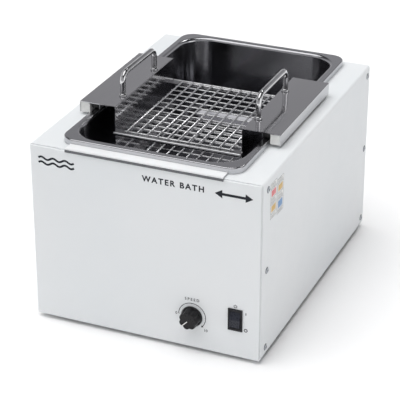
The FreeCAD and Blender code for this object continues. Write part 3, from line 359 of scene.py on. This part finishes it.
knob_low, knob_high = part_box("speed_knob")
KNOB_X = (knob_low.x + knob_high.x) / 2
KNOB_Z = (knob_low.z + knob_high.z) / 2
DIAL_RADIUS = 24.5 * MM
DIAL_START, DIAL_END, DIAL_STEP, DIAL_STEPS = -90, 132, 22.2, 11
DIAL_LINE, TICK_LINE, TICK_LENGTH, DIAL_BARB = 1.1 * MM, 0.6 * MM, 1.6 * MM, 2.2 * MM


def on_dial(reach, turn):
    """The point on the dial at a distance outside its line and at an angle."""
    return arc(KNOB_X, KNOB_Z, DIAL_RADIUS + reach, turn, turn, 1)[0]


dial = [inked(ribbon(arc(KNOB_X, KNOB_Z, DIAL_RADIUS, DIAL_START, DIAL_END), DIAL_LINE))]
for step in range(DIAL_STEPS):
    turn = DIAL_START + DIAL_STEP * step
    dial.append(inked(ribbon([on_dial(-TICK_LENGTH, turn), on_dial(0, turn)], TICK_LINE)))
dial.append(inked([on_dial(0, DIAL_END + 6), on_dial(DIAL_BARB, DIAL_END - 3),
                   on_dial(-DIAL_BARB, DIAL_END - 3)]))
add_piece("dial_scale", dial, ink, "case")
SMALL_TYPE = 5 * MM
lettering("dial_ten", "10", SMALL_TYPE, KNOB_X + 21 * MM, KNOB_Z - 25 * MM)
lettering("dial_nought", "0", SMALL_TYPE, KNOB_X - 30.5 * MM, KNOB_Z - 2 * MM)
lettering("speed_word", "SPEED", SMALL_TYPE, KNOB_X, KNOB_Z + 29.5 * MM, "CENTER", spread=1.5)

switch_low, switch_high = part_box("switch_body")
SWITCH_X = (switch_low.x + switch_high.x) / 2
SIGN_X, SIGN_INSET, SIGN_RING = switch_high.x + 6 * MM, 3.5 * MM, 2.6 * MM
BAR_LENGTH, SIGN_LINE, POWER_LINE = 4.5 * MM, 1.4 * MM, 1.1 * MM
POWER_Z = switch_high.z + 5.2 * MM
on_bar = [(SIGN_X, switch_high.z - SIGN_INSET - BAR_LENGTH), (SIGN_X, switch_high.z - SIGN_INSET)]
off_ring = arc(SIGN_X, switch_low.z + SIGN_INSET, SIGN_RING, 0, 360, 24)
power_ring = arc(SWITCH_X, POWER_Z, SIGN_RING, 40, 320, 20)
power_bar = [(SWITCH_X, POWER_Z), (SWITCH_X, POWER_Z + 3.2 * MM)]
on_off = [inked(ribbon(on_bar, SIGN_LINE)), inked(ribbon(off_ring, SIGN_LINE)),
          inked(ribbon(power_ring, POWER_LINE)), inked(ribbon(power_bar, POWER_LINE))]
add_piece("switch_signs", on_off, ink, "case")


# ------------------------------------------------------------------ side label
# A printed vinyl label stuck to the right wall in two staggered columns: plain colour
# patches and grey lines in ruled cells.

LABEL_FACE = cover_high.x
label_film = new_material("label_film", (0.80, 0.80, 0.78), 0.32)
mottled(label_film, 0.28, 0.4, 300)
tinted(label_film, (0.77, 0.77, 0.75), (0.82, 0.82, 0.80), 90)


def film(y_low, z_low, y_high, z_high, proud):
    """A patch of vinyl or ink on the right wall; all five sizes are in millimetres."""
    return slab((LABEL_FACE - 0.05 * MM, y_low * MM, z_low * MM),
                (LABEL_FACE + proud * MM, y_high * MM, z_high * MM), 0.02 * MM)


LABEL_WIDTH, CELL_GAP = 28, 1.4
FILM_PROUD, RULE_PROUD, PATCH_PROUD = 0.1, 0.13, 0.14
RULE_ACROSS, RULE_UPRIGHT = 0.5, 0.8
LINE_PITCH, LINE_HEIGHT = 2.6, 0.9
COLUMNS = (
    (-240, 256, (("grey", 8), ("amber", 15), ("grey", 10), ("red", 15), ("grey", 10))),
    (-209, 251, (("grey", 6), ("blue", 17), ("grey", 11), ("amber", 15), ("grey", 9))),
)
PATCH_COLORS = {"red": (0.70, 0.16, 0.17), "amber": (0.62, 0.40, 0.10),
                "blue": (0.10, 0.25, 0.50), "grey": (0.10, 0.11, 0.13)}
sheets, patches = [], {color: [] for color in PATCH_COLORS}
for y_low, z_low, cells in COLUMNS:
    level = z_low
    y_high = y_low + LABEL_WIDTH
    for color, tall in cells:
        top = level + tall
        sheets.append(film(y_low, level, y_high, top, FILM_PROUD))
        if color == "grey":
            for line in range(int(tall / 3)):
                foot = level + 1.5 + line * LINE_PITCH
                patches[color].append(film(y_low + 3, foot, y_high - 3 - 2 * line,
                                           foot + LINE_HEIGHT, PATCH_PROUD))
        else:
            patches[color].append(film(y_low + 4, level + 2, y_high - 4, top - 2, PATCH_PROUD))
        for edge in (level, top - RULE_ACROSS):
            patches["grey"].append(film(y_low, edge, y_high, edge + RULE_ACROSS, RULE_PROUD))
        for edge in (y_low, y_high - RULE_UPRIGHT):
            patches["grey"].append(film(edge, level, edge + RULE_UPRIGHT, top, RULE_PROUD))
        level = top + CELL_GAP
add_piece("side_label_film", sheets, label_film, "case")
for color, shapes in patches.items():
    colour_ink = new_material(f"label_{color}", PATCH_COLORS[color], 0.38)
    tinted(colour_ink, tuple(0.92 * c for c in PATCH_COLORS[color]),
           tuple(min(1.08 * c, 1) for c in PATCH_COLORS[color]), 200)
    mottled(colour_ink, 0.32, 0.45, 300)
    add_piece(f"side_label_{color}", shapes, colour_ink, "case")


# ------------------------------------------------------------------ tank
# The deep-drawn stainless tank with its rolled mouth and turned-down lip, its steel darkened
# towards the bottom as painted shade, and the two folded strips, enamelled white, that close
# its short sides; a dark grey band along the foot of each strip's face is painted shade.

tank_steel = new_material("tank_steel", (0.52, 0.52, 0.54), 0.17, metallic=1.0)


def painted_shade_below(material, low, high, start, end):
    """Darkens the base colour down a piece's height: painted shade in a tank's depth."""
    tree = material.node_tree
    place = tree.nodes.new("ShaderNodeTexCoord")
    split = tree.nodes.new("ShaderNodeSeparateXYZ")
    tree.links.new(place.outputs["Generated"], split.inputs["Vector"])
    ramp = ramped(material, split.outputs["Z"], low, high, start, end)
    tree.links.new(ramp.outputs["Color"], tree.nodes["Principled BSDF"].inputs["Base Color"])


# Painted shade: the steel darkens towards the bottom of the tank, where it lies in shade.
painted_shade_below(tank_steel, (0.34, 0.34, 0.36), (0.55, 0.55, 0.57), 0.40, 0.78)
mottled(tank_steel, 0.15, 0.19, 30, stretch=(1, 1, 0.1))
grained(tank_steel, 1600, 0.000002, stretch=(0.2, 1, 1))
finish(tank_steel, "tank")
strip_white = new_material("strip_white", (0.82, 0.83, 0.84), 0.35)
tinted(strip_white, (0.80, 0.81, 0.82), (0.84, 0.85, 0.86), 20)
mottled(strip_white, 0.3, 0.4, 60, stretch=(0.1, 1, 1))
finish(strip_white, "rim_strip_front", "rim_strip_rear")

# A dark grey band along the foot of each strip's face: painted shade on that face.
strip_shade_grey = new_material("strip_shade_grey", (0.115, 0.12, 0.13), 0.5)
tinted(strip_shade_grey, (0.10, 0.105, 0.115), (0.13, 0.135, 0.145), 90)
SHADE_BAND_HEIGHT, SHADE_BAND_DROP = 4.4 * MM, 0.2 * MM
SHADE_BAND_PROUD, SHADE_BAND_PAST, SHADE_BAND_ROUND = 0.8 * MM, 1 * MM, 0.6 * MM
shade_bands = []
for strip, outer in (("rim_strip_front", 0), ("rim_strip_rear", 1)):
    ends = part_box(strip)
    face = ends[outer].y
    low = (ends[0].x - SHADE_BAND_PAST, face - SHADE_BAND_PROUD, ends[0].z - SHADE_BAND_DROP)
    high = (ends[1].x + SHADE_BAND_PAST, face + SHADE_BAND_PROUD, ends[0].z + SHADE_BAND_HEIGHT)
    shade_bands.append(slab(low, high, SHADE_BAND_ROUND))
add_piece("rim_strip_shade_bands", shade_bands, strip_shade_grey, "case")


# ------------------------------------------------------------------ carriage
# Two channels folded from bright stainless sheet, and the two angle bars of stainless that
# are welded between them and carry the upper rack; the bars' steel is darkened to paint the
# shade on their faces below the bead.

carriage_steel = new_material("carriage_steel", (0.60, 0.595, 0.61), 0.12, metallic=1.0)
tinted(carriage_steel, (0.58, 0.575, 0.59), (0.62, 0.615, 0.63), 12, stretch=(1, 0.2, 1))
mottled(carriage_steel, 0.09, 0.16, 50, stretch=(1, 0.1, 1))
grained(carriage_steel, 1500, 0.0000015, stretch=(1, 0.03, 1))
finish(carriage_steel, "side_channel_left", "side_channel_right")
# Painted shade: the bars' steel is made dark so their faces read as a dark line under the bright
# bead.
darkened_bar_steel = new_material("darkened_bar_steel", (0.34, 0.34, 0.35), 0.16, metallic=1.0)
tinted(darkened_bar_steel, (0.31, 0.31, 0.32), (0.37, 0.37, 0.38), 25, stretch=(0.1, 1, 1))
mottled(darkened_bar_steel, 0.12, 0.22, 80, stretch=(0.1, 1, 1))
grained(darkened_bar_steel, 1500, 0.0000015, stretch=(0.03, 1, 1))
finish(darkened_bar_steel, "upper_bar_front", "upper_bar_rear")


# ------------------------------------------------------------------ wire racks
# Two welded grids of electropolished wire. Thirteen cross wires lie on the seats, and
# eleven long wires lie on top of them. A round bead stiffens each bar's outer edge.

wire_chrome = new_material("wire_chrome", (0.90, 0.90, 0.91), 0.26, metallic=1.0)
tinted(wire_chrome, (0.87, 0.87, 0.88), (0.93, 0.93, 0.94), 160)
mottled(wire_chrome, 0.22, 0.32, 500)


def rod_along(path, radius, sides=10):
    """A round rod along a path, with its two ends rounded over."""
    first, last = Vector(path[0]), Vector(path[-1])
    head = (Vector(path[1]) - first).normalized()
    tail = (last - Vector(path[-2])).normalized()
    stations = [(first, 0.55), (first + head * radius * 0.25, 0.86),
                (first + head * radius * 0.7, 1)]
    stations += [(Vector(p), 1) for p in path[1:-1]]
    stations += [(last - tail * radius * 0.7, 1), (last - tail * radius * 0.25, 0.86), (last, 0.55)]
    points, faces = [], []
    side = head.orthogonal().normalized()
    for n, (spot, share) in enumerate(stations):
        before = stations[max(n - 1, 0)][0]
        after = stations[min(n + 1, len(stations) - 1)][0]
        run = (after - before).normalized()
        side = (side - run * side.dot(run)).normalized()
        other = run.cross(side)
        for k in range(sides):
            turn = math.tau * k / sides
            points.append(spot + (side * math.cos(turn) + other * math.sin(turn)) * radius * share)
    for ring in range(len(stations) - 1):
        for k in range(sides):
            after = (k + 1) % sides
            low, high = ring * sides, (ring + 1) * sides
            faces.append((low + k, low + after, high + after, high + k))
    faces.append(tuple(reversed(range(sides))))
    faces.append(tuple(range((len(stations) - 1) * sides, len(stations) * sides)))
    return points, faces


def bent(corners, radius, steps=6):
    """A path through corners with each inner corner rounded to a radius."""
    path = [Vector(corners[0])]
    for before, here, after in zip(corners, corners[1:], corners[2:]):
        here = Vector(here)
        back = (Vector(before) - here).normalized()
        ahead = (Vector(after) - here).normalized()
        half = back.angle(ahead) / 2
        cut = radius / math.tan(half)
        centre = here + (back + ahead).normalized() * radius / math.sin(half)
        start, end = here + back * cut - centre, here + ahead * cut - centre
        for n in range(steps + 1):
            path.append(centre + start.slerp(end, n / steps).normalized() * radius)
    path.append(Vector(corners[-1]))
    return path


LONG_WIRES, CROSS_WIRES = 11, 13
LONG_RADIUS, CROSS_RADIUS = 1.5 * MM, 1.3 * MM
LONG_PITCH, CROSS_PITCH = 19 * MM, 19.7 * MM


def wire_rack(name):
    """The wires of one rack, laid in the box of its node."""
    low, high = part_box(name)
    middle_y = (low.y + high.y) / 2
    cross_z, long_z = low.z + CROSS_RADIUS, high.z - LONG_RADIUS
    wires = []
    for n in range(LONG_WIRES):
        x = LONG_PITCH * (n - LONG_WIRES // 2)
        path = [(x, y, long_z) for y in (low.y, middle_y, high.y)]
        wires.append(rod_along(path, LONG_RADIUS))
    for n in range(CROSS_WIRES):
        y = middle_y + CROSS_PITCH * (n - CROSS_WIRES // 2)
        path = [(x, y, cross_z) for x in (low.x, 0, high.x)]
        wires.append(rod_along(path, CROSS_RADIUS))
    return wires


for rack in ("upper_rack", "lower_rack"):
    add_piece(rack + "_wires", wire_rack(rack), wire_chrome, "carriage", [rack])

bead_chrome = new_material("bead_chrome", (0.93, 0.93, 0.94), 0.45, metallic=1.0)
tinted(bead_chrome, (0.91, 0.91, 0.92), (0.95, 0.95, 0.96), 160)
BEAD, BEAD_RISE = 1.9 * MM, 1.2 * MM
for bar, side in (("upper_bar_front", 0), ("upper_bar_rear", 1)):
    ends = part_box(bar)
    edge, level = ends[side].y, ends[1].z - BEAD + BEAD_RISE
    bead = rod_along([(x, edge, level) for x in (ends[0].x, 0, ends[1].x)], BEAD)
    add_piece(bar + "_bead", [bead], bead_chrome, "carriage")


# ------------------------------------------------------------------ handles
# Two lifting handles, each a chromed steel rod bent twice. A turned collar sits at each
# foot, and a stud below it goes through the plate to a nut.

handle_chrome = new_material("handle_chrome", (0.66, 0.66, 0.67), 0.07, metallic=1.0)
tinted(handle_chrome, (0.60, 0.60, 0.61), (0.70, 0.70, 0.71), 60)
mottled(handle_chrome, 0.05, 0.12, 220)
ROD = 5 * MM
BEND = 16 * MM
HANDLE_REACH = 45 * MM
plate_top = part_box("side_channel_left")[1].z
legs_low, legs_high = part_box("handle_collars")
COLLAR = 7 * MM
STUD, STUD_FOOT, STUD_TOP = 3 * MM, -12 * MM, 0.5 * MM
FRONT_LEG, REAR_LEG = legs_low.y + COLLAR, legs_high.y - COLLAR
COLLAR_PROFILE = [(5.1 * MM, 0), (6.6 * MM, 0), (7 * MM, 0.4 * MM), (7 * MM, 2.2 * MM),
                  (6.7 * MM, 2.8 * MM), (6 * MM, 3.6 * MM), (5.5 * MM, 4.3 * MM),
                  (5 * MM, 4.5 * MM)]
for side, handle in ((-1, "handle_left"), (1, "handle_right")):
    x = side * (legs_high.x - COLLAR)
    top = plate_top + HANDLE_REACH - ROD
    corners = [(x, FRONT_LEG, plate_top), (x, FRONT_LEG, top), (x, REAR_LEG, top),
               (x, REAR_LEG, plate_top)]
    rod = rod_along(bent(corners, BEND, 12), ROD, 24)
    studs = [moved(turned([(STUD, STUD_FOOT), (STUD, STUD_TOP)], 16),
                   Matrix.Translation((x, y, plate_top))) for y in (FRONT_LEG, REAR_LEG)]
    add_piece(handle + "_rod", [rod] + studs, handle_chrome, "carriage", [handle])
rings = []
for x in (legs_low.x + COLLAR, legs_high.x - COLLAR):
    for y in (FRONT_LEG, REAR_LEG):
        rings.append(moved(turned(COLLAR_PROFILE, 32), Matrix.Translation((x, y, plate_top))))
add_piece("handle_collar_rings", rings, handle_chrome, "carriage",
          ["handle_collars"])


# ------------------------------------------------------------------ rollers and blocks
# White acetal blocks under the plates hold ground steel axles. A rubber-tyred roller
# turns on each axle and carries the channel along the top of the tank's rim.

white_plastic = new_material("white_plastic", (0.78, 0.78, 0.76), 0.45)
tinted(white_plastic, (0.74, 0.74, 0.72), (0.80, 0.80, 0.785), 90)
mottled(white_plastic, 0.38, 0.55, 300)
grained(white_plastic, 1400, 0.00003, stretch=(1, 1, 0.2))
finish(white_plastic, "axle_blocks", "drive_socket_left", "drive_socket_right", "board_posts")

roller_rubber = new_material("roller_rubber", (0.02, 0.02, 0.021), 0.6)
tinted(roller_rubber, (0.015, 0.015, 0.016), (0.035, 0.035, 0.035), 300)
mottled(roller_rubber, 0.5, 0.72, 400)
grained(roller_rubber, 2600, 0.00008)
for corner in ("front_left", "front_right", "rear_left", "rear_right"):
    low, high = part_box(f"roller_{corner}")
    radius = (high.z - low.z) / 2
    width = high.x - low.x
    tyre = [(2.3 * MM, 0.0), (3.2 * MM, 0.0), (3.4 * MM, 0.6 * MM), (4.4 * MM, 0.6 * MM),
            (radius - 0.8 * MM, 0.1 * MM), (radius - 0.2 * MM, 0.5 * MM), (radius, 1.3 * MM)]
    tyre += [(reach, width - along) for reach, along in reversed(tyre)]
    spot = towards((low.x, (low.y + high.y) / 2, (low.z + high.z) / 2), (1, 0, 0))
    add_piece(f"roller_{corner}_tyre", [moved(turned(tyre, 40), spot)], roller_rubber,
              f"roller_{corner}", [f"roller_{corner}"])

ground_steel = new_material("ground_steel", (0.62, 0.62, 0.63), 0.16, metallic=1.0)
tinted(ground_steel, (0.56, 0.56, 0.57), (0.66, 0.66, 0.67), 100)
mottled(ground_steel, 0.12, 0.26, 600, stretch=(1, 0.1, 1))
grained(ground_steel, 2000, 0.000006, stretch=(1, 0.05, 1))
finish(ground_steel, "roller_axles", "guide_rods", "output_shaft", "crank_pin", "pivot_pin",
       "knob_spindle")


# ------------------------------------------------------------------ speed knob
# A black phenolic knob: a round skirt, a scalloped grip that narrows to the front,
# and a white filled pointer line. It turns with the spindle.

knob_black = new_material("knob_black", (0.008, 0.008, 0.009), 0.3, specular=0.25)
tinted(knob_black, (0.006, 0.006, 0.007), (0.011, 0.011, 0.012), 200)
mottled(knob_black, 0.24, 0.4, 500)
grained(knob_black, 1800, 0.00002)
SCALLOPS, SCALLOP_DEPTH = 7, 0.13
SKIRT_HEIGHT = 4.5 * MM


def scalloped(angle, height):
    """Shallow finger scallops around the grip and none on the skirt."""
    if height < SKIRT_HEIGHT:
        return 1.0
    wave = 0.5 - 0.5 * math.cos(SCALLOPS * angle)
    return 1.0 - SCALLOP_DEPTH * wave ** 1.6


KNOB_REACH = knob_high.y - knob_low.y
KNOB_RADIUS = (knob_high.x - knob_low.x) / 2
GRIP_FRONT = KNOB_REACH - 0.9 * MM
KNOB_PROFILE = [(KNOB_RADIUS - 0.7 * MM, 0), (KNOB_RADIUS, 0.6 * MM), (KNOB_RADIUS, 2.6 * MM),
                (KNOB_RADIUS - 0.8 * MM, 4.1 * MM), (KNOB_RADIUS - 1.4 * MM, 4.6 * MM),
                (KNOB_RADIUS - 1.6 * MM, 6 * MM), (KNOB_RADIUS - 2.2 * MM, 12 * MM),
                (KNOB_RADIUS - 2.6 * MM, GRIP_FRONT - 1.3 * MM),
                (KNOB_RADIUS - 3.1 * MM, GRIP_FRONT - 0.4 * MM),
                (KNOB_RADIUS - 3.9 * MM, GRIP_FRONT),
                (KNOB_RADIUS - 6 * MM, GRIP_FRONT - 0.25 * MM),
                (1 * MM, GRIP_FRONT - 0.35 * MM)]
knob_spot = towards((KNOB_X, knob_high.y, KNOB_Z), (0, -1, 0))
add_piece("speed_knob_grip", [moved(turned(KNOB_PROFILE, 144, scalloped), knob_spot)], knob_black,
          "knob", ["speed_knob"])
pointer_white = new_material("pointer_white", (0.82, 0.82, 0.80), 0.4)
tinted(pointer_white, (0.76, 0.76, 0.74), (0.85, 0.85, 0.83), 500)
mottled(pointer_white, 0.34, 0.5, 700)
POINTER_HALF, POINTER_START, POINTER_PROUD = 0.7 * MM, 1.5 * MM, 0.12 * MM
POINTER_AT_REST = math.radians(-135)
pointer = slab((-POINTER_HALF, POINTER_START, -0.5 * MM),
               (POINTER_HALF, KNOB_RADIUS - 3.6 * MM, POINTER_PROUD), 0.1 * MM)
pointing = Matrix.Translation((KNOB_X, knob_high.y - GRIP_FRONT, KNOB_Z)) @ Matrix.Rotation(
    POINTER_AT_REST, 4, "Y") @ Matrix.Rotation(math.pi / 2, 4, "X")
add_piece("speed_knob_pointer", [moved(pointer, pointing)], pointer_white, "knob")


# ------------------------------------------------------------------ power switch
# A black nylon rocker switch snapped into the front panel: a fixed frame, and a tilting
# key with a paler grey band across it, a painted highlight where its upper facet catches
# the light. The inlet and fuse holder match it.

switch_black = new_material("switch_black", (0.009, 0.009, 0.012), 0.36, specular=0.25)
tinted(switch_black, (0.008, 0.008, 0.011), (0.012, 0.012, 0.015), 250)
mottled(switch_black, 0.28, 0.42, 350)
grained(switch_black, 1900, 0.00003)
finish(switch_black, "switch_body", "power_inlet", "fuse_holder", "potentiometer")
key_black = new_material("key_black", (0.018, 0.020, 0.030), 0.3, specular=0.3)
tinted(key_black, (0.015, 0.017, 0.026), (0.022, 0.024, 0.035), 250)
mottled(key_black, 0.22, 0.36, 350)
grained(key_black, 1700, 0.00002)
finish(key_black, "rocker_key")

# A paler grey band laid on the key: painted highlight on the key's upper facet.
key_highlight_grey = new_material("key_highlight_grey", (0.17, 0.18, 0.20), 0.4)
tinted(key_highlight_grey, (0.15, 0.16, 0.18), (0.19, 0.20, 0.22), 400)
key_low, key_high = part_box("rocker_key")
KEY_Z = (key_low.z + key_high.z) / 2
HIGHLIGHT_WIDTH, HIGHLIGHT_HEIGHT, HIGHLIGHT_RISE = 15 * MM, 5.5 * MM, 2 * MM
HIGHLIGHT_SINK, HIGHLIGHT_LEAN = 0.75 * MM, math.radians(-20)
highlight_band = slab((-HIGHLIGHT_WIDTH / 2, -0.3 * MM, 0), (HIGHLIGHT_WIDTH / 2, 0.1 * MM, HIGHLIGHT_HEIGHT), 0.1 * MM)
on_key = Matrix.Translation((SWITCH_X, key_low.y + HIGHLIGHT_SINK, KEY_Z + HIGHLIGHT_RISE))
on_key = on_key @ Matrix.Rotation(HIGHLIGHT_LEAN, 4, "X")
add_piece("rocker_key_highlight", [moved(highlight_band, on_key)], key_highlight_grey, "rocker")


# ------------------------------------------------------------------ drive and board
# A geared motor under the tank, with a cast alloy gearbox, turns the crank that shakes
# the carriage. Bronze bushes guide the beam, and a small circuit board sets the speed.

gear_alloy = new_material("gear_alloy", (0.50, 0.51, 0.52), 0.42, metallic=1.0)
tinted(gear_alloy, (0.42, 0.43, 0.44), (0.56, 0.57, 0.58), 120)
mottled(gear_alloy, 0.36, 0.55, 200)
grained(gear_alloy, 700, 0.0001)
finish(gear_alloy, "gearbox")
motor_black = new_material("motor_black", (0.03, 0.03, 0.034), 0.38)
tinted(motor_black, (0.024, 0.024, 0.028), (0.042, 0.042, 0.046), 80)
mottled(motor_black, 0.3, 0.48, 160)
grained(motor_black, 900, 0.00004)
finish(motor_black, "motor")
bush_bronze = new_material("bush_bronze", (0.50, 0.32, 0.15), 0.38, metallic=1.0)
tinted(bush_bronze, (0.40, 0.25, 0.12), (0.58, 0.38, 0.18), 500)
mottled(bush_bronze, 0.3, 0.5, 900)
finish(bush_bronze, "beam_bushes")
board_green = new_material("board_green", (0.02, 0.12, 0.05), 0.35)
tinted(board_green, (0.015, 0.095, 0.04), (0.03, 0.15, 0.07), 260)
mottled(board_green, 0.28, 0.45, 500)
grained(board_green, 1500, 0.00003)
finish(board_green, "speed_board")


# ------------------------------------------------------------------ studio
# The bath stands on a pale floor under a soft sky that darkens overhead, among three
# soft lamps. Broad daylight falls from above, and a weaker copy of it alone is mirrored.

FLOOR_REACH = 9.0
floor_mesh = bpy.data.meshes.new("floor")
floor_mesh.from_pydata([(-FLOOR_REACH, -FLOOR_REACH, 0), (FLOOR_REACH, -FLOOR_REACH, 0),
                        (FLOOR_REACH, FLOOR_REACH, 0), (-FLOOR_REACH, FLOOR_REACH, 0)], [],
                       [(0, 1, 2, 3)])
floor_paint = new_material("floor_paint", (0.93, 0.93, 0.93), 0.9, specular=0.1)
tinted(floor_paint, (0.92, 0.92, 0.92), (0.94, 0.94, 0.94), 1.5)
floor_mesh.materials.append(floor_paint)
floor = bpy.data.objects.new("floor", floor_mesh)
bpy.context.scene.collection.objects.link(floor)

world = bpy.data.worlds.new("studio")
bpy.context.scene.world = world
world.use_nodes = True
sky = world.node_tree.nodes["Background"]
place = world.node_tree.nodes.new("ShaderNodeTexCoord")
split = world.node_tree.nodes.new("ShaderNodeSeparateXYZ")
fade = world.node_tree.nodes.new("ShaderNodeValToRGB")
fade.color_ramp.elements[0].position = 0.0
fade.color_ramp.elements[0].color = (0.52, 0.52, 0.53, 1)
fade.color_ramp.elements[1].position = 1.0
fade.color_ramp.elements[1].color = (0.025, 0.025, 0.03, 1)
SKY_GREYS = ((0.36, 0.36), (0.50, 0.25), (0.60, 0.05))
for height, grey in SKY_GREYS:
    stop = fade.color_ramp.elements.new(height)
    stop.color = (grey, grey, grey * 1.04, 1)
world.node_tree.links.new(place.outputs["Generated"], split.inputs["Vector"])
world.node_tree.links.new(split.outputs["Z"], fade.inputs["Fac"])
world.node_tree.links.new(fade.outputs["Color"], sky.inputs["Color"])
sky.inputs["Strength"].default_value = 1.0

middle = Vector((0, -0.04, (cover_low.z + cover_high.z) / 2 - 0.013))


def soft_light(name, spot, size, power):
    """A square lamp that faces the middle of the bath."""
    lamp = bpy.data.lights.new(name, "AREA")
    lamp.size = size
    lamp.energy = power
    holder = bpy.data.objects.new(name, lamp)
    holder.matrix_world = Matrix.Translation(spot) @ (
        middle - Vector(spot)).to_track_quat("-Z", "Y").to_matrix().to_4x4()
    bpy.context.scene.collection.objects.link(holder)


soft_light("key", (-1.6, -2.0, 1.9), 1.2, 2)
soft_light("fill", (2.4, -0.5, 0.9), 1.4, 6)
soft_light("rear", (0.1, 2.2, 2.6), 0.5, 7)
FROM_ABOVE = Vector((0.18, 0.14, -0.97)).to_track_quat("-Z", "Y").to_matrix().to_4x4()
for name, power, spread, mirrored in (("daylight", 3.2, 72, False), ("glint", 1.15, 60, True)):
    lamp = bpy.data.lights.new(name, "SUN")
    lamp.energy = power
    lamp.angle = math.radians(spread)
    sun = bpy.data.objects.new(name, lamp)
    sun.matrix_world = FROM_ABOVE
    sun.visible_glossy = mirrored
    sun.visible_diffuse = not mirrored
    bpy.context.scene.collection.objects.link(sun)

AZIMUTH = math.radians(-23.03)
ELEVATION = math.radians(26.71)
DISTANCE = 2.932
LENS_LENGTH, FARTHEST_SEEN = 148, 40
back = Vector((-math.sin(AZIMUTH) * math.cos(ELEVATION), -math.cos(AZIMUTH) * math.cos(ELEVATION),
               math.sin(ELEVATION)))
lens = bpy.data.cameras.new("camera")
lens.lens = LENS_LENGTH
lens.clip_end = FARTHEST_SEEN
camera = bpy.data.objects.new("camera", lens)
camera.matrix_world = Matrix.Translation(middle + back * DISTANCE) @ (-back).to_track_quat(
    "-Z", "Y").to_matrix().to_4x4()
bpy.context.scene.collection.objects.link(camera)
bpy.context.scene.camera = camera
bpy.context.scene.view_settings.view_transform = "Standard"
